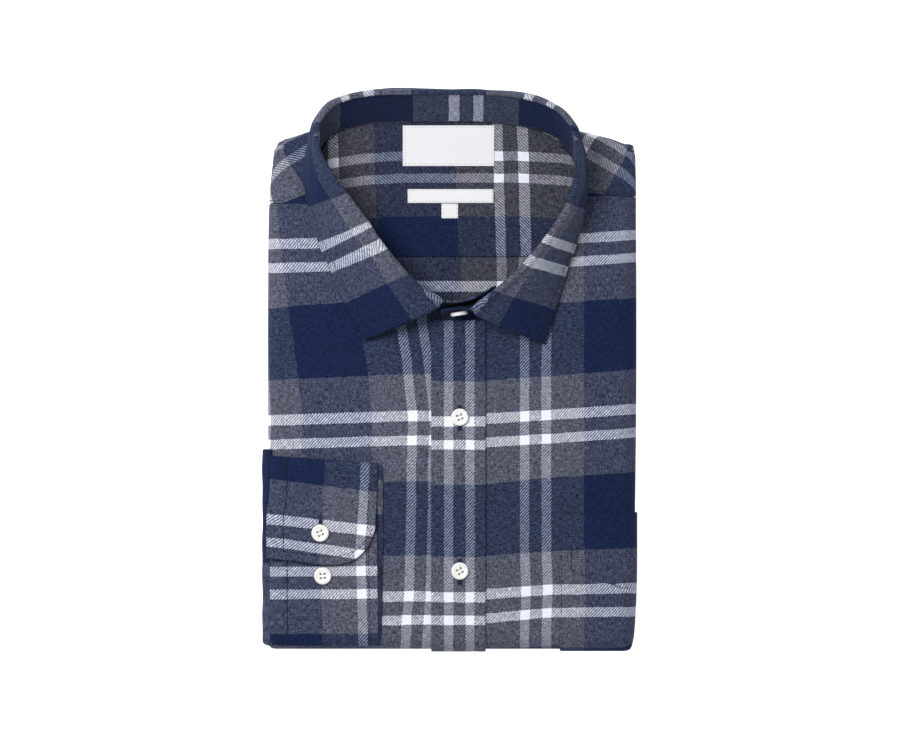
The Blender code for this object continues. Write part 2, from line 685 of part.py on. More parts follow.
def make_neck_inside():
    """The inner yoke and the strip of back below it, which show inside the neck."""
    border = inner_margin(NECK_FINE)
    above = border[:, 1] >= YOKE_SEAM_Y
    first = int(np.argmax(above))
    last = len(border) - 1 - int(np.argmax(above[::-1]))
    parts = (
        ("yoke_inner", border[first : last + 1], YOKE_SEAM_Y + SEAM / 2, 33, 8),
        ("back", np.vstack([border[last:], border[: first + 1]]), YOKE_SEAM_Y - SEAM / 2, 15, 5),
    )
    for name, edge, seam_y, stations, steps in parts:
        run = np.concatenate([[0.0], np.cumsum(np.linalg.norm(np.diff(edge, axis=0), axis=1))])
        at = np.linspace(0, run[-1], stations)
        rim = np.stack([np.interp(at, run, edge[:, k]) for k in (0, 1)], axis=-1)
        rim[0, 1] = rim[-1, 1] = seam_y
        seam_x = np.linspace(rim[0, 0], rim[-1, 0], stations)
        seam = np.stack([seam_x, np.full(stations, seam_y)], axis=-1)
        # The seam's two ends lie on the rim, so the fan starts just inside it.
        seam[0, 0] -= FAN_START * np.sign(rim[0, 0])
        seam[-1, 0] -= FAN_START * np.sign(rim[-1, 0])
        share = np.linspace(0.0, 1.0, steps)[None, :, None]
        points = seam[:, None, :] * (1 - share) + rim[:, None, :] * share
        finish_object(name, inner_wall(points), NAVY)


def stand_path():
    """Foot and top of the stand at each station, with the two ends that lap in front."""
    rows = collar_rows(LEAF_STATIONS)
    run = outward(rows)
    top = np.stack([rows["roll_x"], rows["roll_y"]], axis=-1) + run * STAND_IN_ROLL
    foot = top - np.stack([np.zeros(len(top)), rows["lean"]], axis=-1)
    top_z = rows["roll_z"] - LEAF_ROLL_RISE - 2 * SEAM
    # The under end draws in behind the end that laps over it.
    inward = LAP_STEP * (1.0 - smooth(0, LAP_REACH, np.arange(len(top))))
    top[:, 1] += inward
    foot[:, 1] += inward
    under = np.linspace(1.0, 0.0, STAND_LAP_STEPS, endpoint=False)
    over = np.linspace(0.0, 1.0, STAND_LAP_STEPS + 1)[1:]
    under_way = np.array([UNDER_LAP, UNDER_RISE])
    over_way = np.array([-OVER_LAP, OVER_RISE])
    tops = [top[0] + under_way * f for f in under]
    feet = [foot[0] + under_way * f for f in under]
    heights = [top_z[0] - LAP_DROP * f for f in under]
    tops += list(top)
    feet += list(foot)
    heights += list(top_z)
    tops += [top[-1] + over_way * f for f in over]
    feet += [foot[-1] + over_way * f for f in over]
    heights += [top_z[-1] - LAP_DROP * f for f in over]
    return np.array(tops), np.array(feet), np.array(heights)


def wall_about(middle, thickness):
    """Both faces of a wall about a grid of middle points."""
    along = np.gradient(middle, axis=0)
    across = np.gradient(middle, axis=1)
    normal = np.cross(along, across)
    normal /= np.linalg.norm(normal, axis=-1, keepdims=True)
    return middle + normal * thickness / 2, middle - normal * thickness / 2


def stand_middle():
    top, foot, top_z = stand_path()
    near = (-STAND_FOOTING, 0.0, STAND_FOOTING)
    beside = [plan_height(foot[:, 0] + x, foot[:, 1] + y) for x in near for y in near]
    foot_z = np.max(beside, axis=0) + SEAM + 0.05
    share = np.linspace(0.0, 1.0, 4)[None, :, None]
    low = np.concatenate([foot, foot_z[:, None]], axis=-1)[:, None, :]
    high = np.concatenate([top, top_z[:, None]], axis=-1)[:, None, :]
    return low * (1 - share) + high * share


def make_stand():
    """The band that stands up round the neck, its ends lapped under the collar button."""
    outer, inner = wall_about(stand_middle(), STIFF_WALL)
    finish_object("collar_stand", wall(outer, inner), GREY)


def leaf_middle(stations):
    """The leaf's middle: up from the stand, over the roll and down to the outer edge."""
    rows = collar_rows(stations)
    run = outward(rows)
    roll = np.stack([rows["roll_x"], rows["roll_y"]], axis=-1)
    edge = np.stack([rows["edge_x"], rows["edge_y"]], axis=-1)
    spread = np.linalg.norm(edge - roll, axis=-1) - STIFF_WALL / 2
    resting = plan_height(edge[:, 0], edge[:, 1]) + SEAM + 1.3 * STIFF_WALL
    edge_z = np.maximum(rows["edge_z"], resting)
    width = np.minimum(LEAF_ROLL_WIDTH, spread * ROLL_SHARE)
    start = np.minimum(STAND_IN_ROLL, width * 0.4)
    end = np.minimum(np.linspace(0.0, 1.0, stations), np.linspace(1.0, 0.0, stations))
    bow = LEAF_BOW * (1.0 - smooth(0.0, LEAF_BOW_REACH, end))
    lines = []
    for i in range(stations):
        profile = [(start[i] + (width[i] - start[i]) * point.over, point.height, 0.0) for point in ROLL_PROFILE]
        fall_from = np.array(profile[-1][:2])
        fall_to = np.array([spread[i], edge_z[i] - rows["roll_z"][i]])
        drop = fall_to - fall_from
        square = np.array([-drop[1], drop[0]]) / np.linalg.norm(drop)
        for step in range(1, LEAF_FALL_STEPS + 1):
            part = step / LEAF_FALL_STEPS
            swell = LEAF_BULGE * math.sin(math.pi * part) * min(1.0, width[i] / LEAF_ROLL_WIDTH)
            forward = bow[i] * math.sin(math.pi * part**LEAF_BOW_POWER)
            profile.append((*(fall_from + drop * part + square * swell), forward))
        front_way = np.array([run[i, 1], -run[i, 0]]) * np.sign(run[i, 0])
        lines.append(
            [
                (*(roll[i] + run[i] * out + front_way * forward), rows["roll_z"][i] + up)
                for out, up, forward in profile
            ]
        )
    return np.array(lines)


def make_leaf():
    """The collar's leaf, one wall from the stand over the roll to its two points."""
    outer, inner = wall_about(leaf_middle(LEAF_STATIONS), STIFF_WALL)
    finish_object("collar_leaf", wall(outer, inner), NAVY)


def make_sleeve():
    """The sleeve, flattened, from the cuff round the side and in under the pack."""
    t = between(SLEEVE_BOTTOM, SLEEVE_TOP, CELL)
    lines = []
    for height in t:
        flat = float(side_left(height))
        steps = [step for step in FOLD_STEPS if flat - step < CUFF_SEAM - SEAM] + [22.0, SLEEVE_LIP]
        lines.append([CUFF_SEAM - SEAM] + [flat - step for step in steps])
    s = np.array(lines)
    past = side_left(t)[:, None] - s
    low = SEAM + 0.1 + SLEEVE_PUFF * smooth(6, 16, past) * (1 - smooth(20, 26, past))
    finish_object("sleeve_right", sheet_wall(s, t[:, None] + 0 * s, low, low + SLEEVE_WALL), GREY)


def make_cuff():
    """The cuff, one wall from its lapped end over the top, under and back up beneath itself."""
    end_y = through(column(CUFF_END, "x"), column(CUFF_END, "y"), CUFF_COLUMNS)
    path = [CuffTurn(0, CUFF_PATH[0].lift, CUFF_PATH[0].edge)] * 2 + list(CUFF_PATH)
    middle = np.zeros((len(path), len(CUFF_COLUMNS), 2))
    edge = column(path, "edge")
    for j, start in enumerate(end_y):
        turns = [start, (start + CUFF_PATH[0].t) / 2] + [turn.t for turn in CUFF_PATH]
        middle[:, j, 0] = turns
        middle[:, j, 1] = [turn.lift for turn in path]
    columns = np.array(CUFF_COLUMNS)
    reach = (columns - columns[0]) / (columns[-1] - columns[0])
    slope = CUFF_SLOPE[0] + (CUFF_SLOPE[1] - CUFF_SLOPE[0]) * reach
    middle[..., 0] += slope * smooth(*CUFF_SLOPE_FROM, middle[..., 0])
    along = np.gradient(middle, axis=0)
    square = np.stack([-along[..., 1], along[..., 0]], axis=-1)
    square /= np.linalg.norm(square, axis=-1, keepdims=True)
    s = columns[0] + (edge[:, None] - columns[0]) * reach[None, :]
    faces = []
    for way in (0.5, -0.5):
        place = middle + square * STIFF_WALL * way
        faces.append(sheet(s, place[..., 0], place[..., 1]))
    finish_object("cuff_right", wall(*faces), NAVY)


def make_labels():
    """The three bare labels on the inner yoke."""
    for label in LABELS:
        x = between(label.left, label.right, LABEL_CELL)
        y = between(label.bottom, label.top, LABEL_CELL)
        x, y = np.meshgrid(x, y)
        z = inner_height(x, y) + SEAM
        low = np.stack([x, y, z], axis=-1)
        finish_object(label.name, wall(low + np.array([0, 0, LABEL_WALL]), low), PALE)


def button_mesh():
    """A four-hole button, standing on its flat back."""
    data = bmesh.new()
    r, h = BUTTON_RADIUS, BUTTON_HEIGHT
    profile = (
        (0.0, 0.0),
        (r - 0.9, 0.0),
        (r, 0.9),
        (r - 0.2, h - 0.6),
        (r - 0.8, h),
        (r - 0.8 - BUTTON_RIM, h - BUTTON_DISH),
        (0.0, h - BUTTON_DISH),
    )
    rings = []
    for radius, height in profile:
        if radius == 0.0:
            rings.append([data.verts.new((0, 0, height))])
            continue
        turns = [2 * math.pi * k / BUTTON_SIDES for k in range(BUTTON_SIDES)]
        rings.append([data.verts.new((radius * math.cos(a), radius * math.sin(a), height)) for a in turns])
    for low, high in zip(rings, rings[1:]):
        for k in range(BUTTON_SIDES):
            after = (k + 1) % BUTTON_SIDES
            if len(low) == 1:
                data.faces.new((low[0], high[after], high[k]))
            elif len(high) == 1:
                data.faces.new((low[k], low[after], high[0]))
            else:
                data.faces.new((low[k], low[after], high[after], high[k]))
    face_outwards(data)
    return data


def hole_cutter():
    """Four small rods, where the thread goes through."""
    data = bmesh.new()
    for x in (-0.5, 0.5):
        for y in (-0.5, 0.5):
            place = Matrix.Translation((x * BUTTON_HOLE_SPACING, y * BUTTON_HOLE_SPACING, BUTTON_HEIGHT / 2))
            bmesh.ops.create_cone(
                data,
                cap_ends=True,
                segments=6,
                radius1=BUTTON_HOLE_RADIUS,
                radius2=BUTTON_HOLE_RADIUS,
                depth=BUTTON_HEIGHT * 2,
                matrix=place,
            )
    return data


def place_button(name, foot, normal, turn):
    """A button on its cutter, its back at foot and its face along normal."""
    up = Vector(normal).normalized()
    place = Matrix.Translation(Vector(foot) * MM) @ up.to_track_quat("Z", "Y").to_matrix().to_4x4()
    place = place @ Matrix.Rotation(math.radians(turn), 4, "Z")
    button = finish_object(name, button_mesh(), PALE, roughness=0.3)
    cutter = finish_object(f"{name}_holes", hole_cutter(), PALE)
    cutter.hide_render = True
    cutter.display_type = "WIRE"
    cutter.parent = button
    button.matrix_world = place
    cut = button.modifiers.new("thread holes", "BOOLEAN")
    cut.operation = "DIFFERENCE"
    cut.solver = "EXACT"
    cut.object = cutter


def make_buttons():
    for button in BUTTONS:
        foot = sheet(button.s, button.t, button.lift + SEAM)
        normal = sheet(button.s, button.t, button.lift + 1.0) - sheet(button.s, button.t, button.lift)
        place_button(button.name, foot, normal, button.turn)
    # The collar button, on the outer face of the stand's upper end.
    middle = stand_middle()
    outer, inner = wall_about(middle, STIFF_WALL)
    front_end = middle[-STAND_LAP_STEPS - 1 :]
    near = len(middle) - STAND_LAP_STEPS - 1 + int(np.argmin(np.abs(front_end[:, 0, 0] - COLLAR_BUTTON_X)))
    out_faces = outer if outer[near, 1, 1] < inner[near, 1, 1] else inner
    place = out_faces[near, 0] + (out_faces[near, -1] - out_faces[near, 0]) * COLLAR_BUTTON_UP
    # It hangs plumb on its thread, and the stand leans back above it.
    normal = out_faces[near, 1] - middle[near, 1]
    normal[2] = 0.0
    normal /= np.linalg.norm(normal)
    place_button("button_collar", place + normal * COLLAR_BUTTON_SHANK, normal, COLLAR_BUTTON_TURN)


def make_core():
    """Everything folded behind the fronts: one rounded pack whose edges show its layers."""
    s_unit = np.linspace(0.0, 1.0, CORE_COLUMNS)
    t_unit = np.linspace(0.0, 1.0, CORE_ROWS)
    steps = np.array([*FOLD_STEPS[1:], CORE_LIP])
    rows = []
    for t_index in range(-len(steps), len(t_unit) + len(steps)):
        row = []
        for s_index in range(-len(steps), len(s_unit) + len(steps)):
            flat_s = s_unit[min(max(s_index, 0), len(s_unit) - 1)]
            flat_t = t_unit[min(max(t_index, 0), len(t_unit) - 1)]
            s, t = 0.0, BOTTOM_EDGE + (top_edge(0.0) - BOTTOM_EDGE) * flat_t
            for _ in range(3):
                s = side_left(t) + (side_right(t) - side_left(t)) * flat_s
                t = BOTTOM_EDGE + (top_edge(s) - BOTTOM_EDGE) * flat_t
            if s_index < 0:
                s = s - steps[-s_index - 1]
            if s_index >= len(s_unit):
                s = s + steps[s_index - len(s_unit)]
            if t_index < 0:
                t = t - steps[-t_index - 1]
            if t_index >= len(t_unit):
                t = t + steps[t_index - len(t_unit)]
            row.append((s, t))
        rows.append(row)
    grid = np.array(rows, float)
    s, t = grid[..., 0], grid[..., 1]
    flat_x, flat_y = flat_part(s, t)
    past = np.maximum(np.abs(s - flat_x), np.abs(t - flat_y))
    lift = -(WALL + CORE_GAP + CORE_FOLD_GAP * smooth(0, CORE_TURN, past))
    points = sheet(s, t, lift)
    # Under the neck the pack sinks with the inner yoke and the back that lie on it.
    x, y = points[..., 0], points[..., 1]
    ratio = neck_ratio(x, y)
    beyond = (ratio - 1.0) * np.hypot(x - NECK_CENTRE[0], y - NECK_CENTRE[1])
    covered = 1.0 - smooth(INNER_MARGIN + CORE_STEP[0], INNER_MARGIN + CORE_STEP[1], beyond)
    hollow = NECK_HOLLOW * (1.0 - smooth(*HOLLOW_SIDES, ratio))
    under = (WALL + 4 * SEAM) * covered + hollow
    steep = 1.0 + CORE_STEEP * smooth(0, CORE_TURN, past)
    points[..., 2] -= under * steep * (1 - smooth(*CORE_SINK_ENDS, past))
    data = bmesh.new()
    verts = [[data.verts.new(Vector(point)) for point in line] for line in points]
    height, width = points.shape[:2]
    for i in range(height - 1):
        for j in range(width - 1):
            data.faces.new((verts[i][j], verts[i][j + 1], verts[i + 1][j + 1], verts[i + 1][j]))
    border = [(0, j) for j in range(width)]
    border += [(i, width - 1) for i in range(1, height)]
    border += [(height - 1, j) for j in range(width - 2, -1, -1)]
    border += [(i, 0) for i in range(height - 2, 0, -1)]
    way = np.stack([s - flat_x, t - flat_y], axis=-1)
    way /= (np.abs(way) ** CORNER_POWER).sum(axis=-1, keepdims=True) ** (1 / CORNER_POWER) + 1e-9
    upper = [verts[i][j] for i, j in border]
    for layer in LAYER_EDGES:
        lower = []
        for i, j in border:
            x = flat_x[i, j] + way[i, j, 0] * (FOLD_REACH - layer.inset)
            y = flat_y[i, j] + way[i, j, 1] * (FOLD_REACH - layer.inset)
            lower.append(data.verts.new((x, y, layer.z)))
        for k in range(len(border)):
            after = (k + 1) % len(border)
            data.faces.new((upper[k], lower[k], lower[after], upper[after]))
        upper = lower
    data.faces.new(list(reversed(upper)))
    face_outwards(data)
    finish_object("hidden_layers", data, NAVY)


def main():
    for thing in list(bpy.data.objects):
        bpy.data.objects.remove(thing, do_unlink=True)
    make_core()
    make_fronts()
    make_yoke()
    make_neck_inside()
    make_placket()
    make_pocket()
    make_stand()
    make_leaf()
    make_sleeve()
    make_cuff()
    make_labels()
    make_buttons()


main()
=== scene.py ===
# %% [markdown]
# # A folded flannel shirt
#
# The shirt lies on its back, folded for a shelf: the fronts, the pocket and one cuff are uppermost and
# the collar stands. Its solids are already built, and this lesson dresses them. Every piece of cloth is
# made again as a finer, thinner shell on the same form, with its creases, its plaid and its sewing.
#
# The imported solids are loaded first. Nothing here moves or resizes them.

import math
from collections import namedtuple

import bmesh
import bpy
import numpy as np
from mathutils import Matrix, Vector


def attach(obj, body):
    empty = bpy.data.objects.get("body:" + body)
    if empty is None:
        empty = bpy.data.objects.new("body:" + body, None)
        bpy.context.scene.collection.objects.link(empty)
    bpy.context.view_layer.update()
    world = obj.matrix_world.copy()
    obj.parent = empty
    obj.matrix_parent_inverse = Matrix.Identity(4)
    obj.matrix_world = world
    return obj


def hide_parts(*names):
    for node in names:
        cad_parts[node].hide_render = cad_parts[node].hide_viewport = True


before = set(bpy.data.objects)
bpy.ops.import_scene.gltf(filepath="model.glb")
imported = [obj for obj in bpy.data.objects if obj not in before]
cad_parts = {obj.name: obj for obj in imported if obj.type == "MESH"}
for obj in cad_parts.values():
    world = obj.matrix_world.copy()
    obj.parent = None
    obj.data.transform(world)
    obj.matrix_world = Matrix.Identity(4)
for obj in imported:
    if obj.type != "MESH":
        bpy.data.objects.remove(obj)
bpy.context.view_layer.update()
MM = 0.001

# %% [markdown]
# ## Reading tables
#
# A garment has few straight lines, so its sizes are short tables with a row for each place that was
# measured. `through` draws a smooth curve through such a table, and `along` joins its rows with straight
# lines and runs on past both ends. `read` finds the two columns by their names.

# %% Small helpers


def table(names, *rows):
    """Rows whose columns have names."""
    row = namedtuple("Row", names)
    return tuple(row(*values) for values in rows)


def column(rows, name):
    return np.array([getattr(row, name) for row in rows], float)


def smooth(low, high, value):
    """Rises from 0 at low to 1 at high with no kink."""
    part = np.clip((np.asarray(value, float) - low) / (high - low), 0.0, 1.0)
    return part * part * (3.0 - 2.0 * part)


def row_before(knots, at):
    return np.clip(np.searchsorted(knots, at, side="right") - 1, 0, len(knots) - 2)


def through(knots, values, at):
    """A smooth curve through a table's values, read at one or many places."""
    slopes = np.gradient(values, knots, axis=0)
    at = np.clip(np.asarray(at, float), knots[0], knots[-1])
    row = row_before(knots, at)
    span = knots[row + 1] - knots[row]
    part = (at - knots[row]) / span
    if values.ndim > 1:
        part, span = part[..., None], span[..., None]
    square = part * part
    cube = square * part
    return (
        (2 * cube - 3 * square + 1) * values[row]
        + (cube - 2 * square + part) * span * slopes[row]
        + (3 * square - 2 * cube) * values[row + 1]
        + (cube - square) * span * slopes[row + 1]
    )


def along(knots, values, at):
    """Straight lines through a table's values, which run on past its ends. The knots rise."""
    row = row_before(knots, at)
    part = (at - knots[row]) / (knots[row + 1] - knots[row])
    return values[row] + (values[row + 1] - values[row]) * part


def read(rows, names, at, curve=through):
    """A table's value at some places. The names are the place's column and the value's."""
    place, value = names.split()
    return curve(column(rows, place), column(rows, value), at)


def read_all(rows, knots, at):
    """Every column of a table whose rows lie at the knots, as a dict."""
    return {name: through(knots, column(rows, name), at) for name in rows[0]._fields}


def joined(*parts):
    """Points from their coordinates."""
    return np.stack(np.broadcast_arrays(*parts), axis=-1)


def unit(ways):
    """The same directions, each 1 long."""
    return ways / np.linalg.norm(ways, axis=-1, keepdims=True)


# %% [markdown]
# ## The folded sheet
#
# All the cloth that lies on the pack follows one folded sheet. Its own coordinates are s across and t
# along, both in millimetres of cloth, and lift is how far out a point lies from the fronts' outer face.
# The sheet is flat in the middle, with soft ridges, and turns down round the folds at the sides, the top
# and the bottom. The sizes are the solids' own, so that every shell fits its solid.

# %% The pack's form
WALL = 1.2
STIFF_WALL = 1.5
SLEEVE_WALL = 2.4
SEAM = 0.3
PACK_HEIGHT = 22.0
FOLD_REACH = 8.5
FOLD_QUARTER = 18.0
FOLD_WIDEST = 10.5
CORNER_POWER = 5.0
SHOULDER_POWER = 1.5  # the shoulders' corners are cut off more than the lower ones
BOTTOM = -180.4
BOTTOM_EDGE = BOTTOM + FOLD_REACH
FRONT_LIP = 20.5
POCKET_LIP = 19.5
SLEEVE_LIP = 26.0
SHOULDER_DROP = 5.0
NECK_BACK_DROP = 1.5
EDGE_DROP = 1.2
HALF_WIDTH = 118.0
SHOULDER_X, SHOULDER_Y = (55, 115), (80, 150)  # between these the shoulders drop
NECK_BACK_Y = (110, 165)
CORNER_Y = (90.0, 135.0)  # between these the corners change to the shoulders' cut
NORMAL_STEP = 0.4  # how far apart the sheet is read to tell which way it faces

SIDES = table(
    "y left right",
    (-182, -117.6, 117.6), (-167, -118, 119), (-145, -118, 120.2), (-90, -118, 120.7), (-60, -118, 121.1),
    (45, -118.1, 121.6), (100, -117.6, 121.3), (122, -116.6, 121.3), (136, -115, 121), (150, -114, 120.8),
)

TOP_EDGE = table(
    "x y",
    (-118, 146.6), (-110, 150.2), (-102, 152.6), (-90, 156.6), (-60, 163), (0, 166), (60, 162.5),
    (84, 156.4), (96, 153.6), (106, 151), (114, 147.8), (122, 143.6),
)

# Soft ridges (rise above 0) and troughs: the line's two ends, its reach to each side and its height.
RIDGES = table(
    "x0 y0 x1 y1 reach rise",
    (-106, 62, -66, 8, 24, 1.3),
    (-98, -28, -30, -40, 22, -1.2),
    (-36, 8, -30, -60, 26, 0.9),
    (44, 12, 98, -36, 26, 1.2),
    (104, 78, 70, 30, 24, -1.1),
    (40, -70, 60, -165, 26, -1),
    (78, -120, 116, -150, 24, 1.1),
    (-26, -100, -20, -168, 22, 1),
)

# %% [markdown]
# The solids keep only the largest folds. Here the finer creases join them: the sharp one
# across the pocket's lower corner, the drag lines from the shoulders and the collar points, and the slack
# beside the placket. They are uneven in length, reach and height, as pressed and handled cloth is.

# %% Finer creases
CREASES = table(
    "x0 y0 x1 y1 reach rise",
    (79.4, -112, 79.4, -129.6, 1.4, -0.85),
    (79.9, -130.3, 90.7, -134.1, 1.6, -0.95),
    (90.7, -134.1, 106.9, -139.1, 1.5, -0.40),
    (106.9, -139.1, 117.6, -143.4, 1.7, -1.2),
    (74, -91.6, 118, -89.4, 1.7, -0.8),
    (-116, -55, -48, -59.6, 5, -1.3),
    (92, -128, 112, -133.5, 7, 0.35),
    (-113, 96, -88, 70, 7.5, 0.45),
    (-109, 84, -97, 58, 5, -0.35),
    (-94, 44, -60, 18, 8, -0.40),
    (-84, 22, -66, -14, 7, 0.35),
    (-112, 12, -100, -22, 6, 0.40),
    (-58, 0, -40, -30, 6.5, 0.30),
    (-34, 26, -27, -14, 5, -0.35),
    (-21, 20, -19, -44, 4.5, 0.40),
    (-22, -58, -20, -120, 5, 0.35),
    (-34, -84, -26, -150, 6, -0.40),
    (30, 18, 33, -38, 5, 0.35),
    (38, -18, 42, -82, 7, -0.35),
    (66, 20, 84, -8, 7, 0.40),
    (94, 4, 112, -26, 8, -0.45),
    (90, 92, 108, 62, 6.5, 0.45),
    (99, 98, 113, 78, 5, -0.35),
    (76, 44, 86, 24, 6, -0.30),
    (46, -96, 60, -118, 7, 0.35),
    (33, -118, 38, -172, 6, 0.40),
    (54, -140, 64, -170, 6, -0.35),
    (98, -60, 116, -84, 7, 0.35),
    (-6, -62, 18, -70, 8, 0.25),
    (-8, 6, 14, -4, 7, -0.25),
)


def side_left(y):
    return read(SIDES, "y left", y) + FOLD_REACH


def side_right(y):
    return read(SIDES, "y right", y) - FOLD_REACH


def top_edge(x):
    return read(TOP_EDGE, "x y", x) - FOLD_REACH


def ridges(x, y):
    """Height that the soft ridges, troughs and creases add."""
    total = np.zeros(np.broadcast(x, y).shape)
    for ridge in RIDGES + CREASES:
        length = math.hypot(ridge.x1 - ridge.x0, ridge.y1 - ridge.y0)
        way = (ridge.x1 - ridge.x0) / length, (ridge.y1 - ridge.y0) / length
        run = (x - ridge.x0) * way[0] + (y - ridge.y0) * way[1]
        off = (x - ridge.x0) * -way[1] + (y - ridge.y0) * way[0]
        past = np.maximum(np.maximum(-run, run - length), 0.0)
        total = total + ridge.rise * np.exp(-2.0 * (off**2 + past**2) / ridge.reach**2)
    return total


def pack_top(x, y):
    """Height of the fronts' outer face where the pack is not turning down."""
    across = np.abs(x)
    return (
        PACK_HEIGHT
        - EDGE_DROP * (across / HALF_WIDTH) ** 3
        - SHOULDER_DROP * smooth(*SHOULDER_X, across) * smooth(*SHOULDER_Y, y)
        - NECK_BACK_DROP * smooth(*NECK_BACK_Y, y)
        + ridges(x, y)
    )


def corner_power(y):
    return CORNER_POWER + (SHOULDER_POWER - CORNER_POWER) * smooth(*CORNER_Y, y)


def flat_part(s, t):
    """The nearest place of the sheet that does not turn down."""
    x = np.clip(s, side_left(t), side_right(t))
    return x, np.clip(t, BOTTOM_EDGE, top_edge(x))


def sheet_base(s, t):
    """The point of the fronts' outer face at s, t."""
    x, y = flat_part(s, t)
    past_x = s - x
    past_y = t - y
    past = np.maximum(np.abs(past_x), np.abs(past_y))
    power = corner_power(y)
    norm = (np.abs(past_x) ** power + np.abs(past_y) ** power) ** (1 / power)
    norm = np.maximum(norm, 1e-9)
    turn = np.minimum(past / FOLD_QUARTER, 1.0) * (math.pi / 2)
    reach = FOLD_REACH * np.sin(turn)
    z = FOLD_WIDEST + (pack_top(x, y) - FOLD_WIDEST) * np.cos(turn) - np.maximum(past - FOLD_QUARTER, 0.0)
    return joined(x + past_x / norm * reach, y + past_y / norm * reach, z)


def sheet(s, t, lift=0.0):
    """The point of the folded sheet at s, t, lifted out from the fronts' outer face."""
    s, t, lift = np.broadcast_arrays(*(np.asarray(part, float) for part in (s, t, lift)))
    across = sheet_base(s + NORMAL_STEP, t) - sheet_base(s - NORMAL_STEP, t)
    down = sheet_base(s, t + NORMAL_STEP) - sheet_base(s, t - NORMAL_STEP)
    return sheet_base(s, t) + unit(np.cross(across, down)) * lift[..., None]


def plan_height(x, y):
    """Height of the fronts' outer face over a point of the shelf, and 0 outside the pack."""
    inside_x = np.clip(x, side_left(y), side_right(y))
    inside_y = np.clip(y, BOTTOM_EDGE, top_edge(x))
    power = corner_power(inside_y)
    reach = (np.abs(x - inside_x) ** power + np.abs(y - inside_y) ** power) ** (1 / power)
    turn = np.sqrt(np.clip(1.0 - (reach / FOLD_REACH) ** 2, 0.0, 1.0))
    height = FOLD_WIDEST + (pack_top(inside_x, inside_y) - FOLD_WIDEST) * turn
    return np.where(reach < FOLD_REACH, height, 0.0)


def on_sheet(x, y):
    """s and t of a point of the shelf, where only the top edge turns down there."""
    past = np.clip((y - top_edge(x)) / FOLD_REACH, 0.0, 0.999)
    return x, np.minimum(y, top_edge(x)) + np.arcsin(past) / (math.pi / 2) * FOLD_QUARTER


print("the pack is", PACK_HEIGHT, "mm high, with", len(CREASES), "finer creases")

# %% [markdown]
# ## The collar's sections
#
# The collar is the one piece that stands. Each row of its table is a section across it, from the right
# front end round the back to the left one: the inner edge of the rolled top, the leaf's outer edge, how
# far the stand leans, and how far along the plaid the section lies from the middle of the back.

# %% The collar's table and the neck
COLLAR = table(
    "roll_x roll_y roll_z edge_x edge_y edge_z lean along",
    (-1.5, 45.9, 50, -55.6, 19.4, 22, 3, -234.4),
    (-15, 54.1, 51.5, -64.4, 36.1, 22, 7.5, -219.4),
    (-27, 65.3, 52.5, -71.2, 49.4, 22, 11, -203.8),
    (-41.9, 83.2, 53.5, -78.2, 66.6, 22, 12, -184),
    (-51.7, 97.8, 54.3, -84.8, 80.3, 21, 12, -168.1),
    (-61.8, 111.5, 54.8, -88.8, 93.5, 20, 12.5, -154.3),
    (-72.5, 125.8, 55, -92.2, 106.5, 19, 13, -140.9),
    (-80, 137.5, 55, -94.4, 121, 18, 13, -126.1),
    (-84, 148, 54.6, -94.3, 136, 18, 14, -111.2),
    (-84.2, 157.5, 53.8, -91.8, 149.5, 17, 15.3, -97.5),
    (-80.6, 165.5, 52.5, -87.6, 163, 13.5, 16.6, -85.2),
    (-70.5, 173.9, 50.8, -76.6, 175.6, 10.5, 17.6, -73.5),
    (-50.4, 178.3, 49, -53.4, 182.3, 8.5, 17.6, -51),
    (-25.7, 179, 48.2, -26.2, 183.2, 7.5, 17.6, -26),
    (0, 179.1, 48, 0, 183.2, 7, 17.6, 0),
    (25.7, 178.7, 48.2, 26.6, 182.7, 7.5, 17.6, 25.4),
    (48.4, 176.2, 49, 51.6, 179.6, 8.5, 17.6, 50.7),
    (66, 170.6, 50.8, 71.4, 171.6, 10.5, 17.6, 72.2),
    (75.4, 162.2, 52.5, 81.6, 160, 13.5, 16.6, 85.2),
    (79.6, 153.4, 53.8, 86.6, 147.4, 17, 15.3, 98.2),
    (81.6, 144, 54.6, 89.7, 134.5, 18, 14, 111.2),
    (81.2, 133, 55, 90.2, 120.5, 18, 13, 124.8),
    (78.6, 120.5, 55, 89.2, 108.5, 19, 13, 137.2),
    (73.4, 106.5, 54.8, 86.4, 96, 20, 12.5, 148.8),
    (64.7, 92.6, 54.3, 83, 82.5, 21, 12, 164.1),
    (53.6, 78.3, 53.5, 77.4, 66.6, 22, 12, 181.3),
    (41.9, 65.3, 52.5, 73, 52, 22, 11, 197),
    (28.3, 53.6, 51.5, 68.6, 36.7, 22, 7.5, 213.8),
    (11.4, 41, 50, 62.7, 17.2, 22, 1.2, 234),
)
LEAF_ROLL_RISE = 3.6
LEAF_ROLL_WIDTH = 5.0
LEAF_BULGE = 1.6
LEAF_BOW = 2.2
LEAF_BOW_POWER = 0.45
LEAF_BOW_REACH = 0.06
ROLL_SHARE = 0.86
STAND_IN_ROLL = 1.5
UNDER_LAP = 33.0
OVER_LAP = 18.5
LAP_STEP = 0.6
LAP_DROP = 0.8
UNDER_RISE = -4.2
OVER_RISE = -2.8
UNDER_CURL = 14.4  # how far the under end follows the curve of the neck
OVER_CURL = 2.2  # how far the top of the over end leans back
LAP_SHARE = 7.0 / 51.0  # the part of the stand's length over which the under end draws inwards
NECK_HOLLOW = 6.0
HOLLOW_SIDES = (0.35, 1.05)
NECK_CENTRE = (0.0, 110.0)
NECK_TURNING = 0.3
INNER_MARGIN = 10.0
YOKE_SEAM_Y = 74.5
FRONTS_MEET = 6.0


def collar_rows(stations):
    """The collar's table read at many sections, as a dict of columns."""
    return read_all(COLLAR, np.linspace(0.0, 1.0, len(COLLAR)), np.linspace(0.0, 1.0, stations))


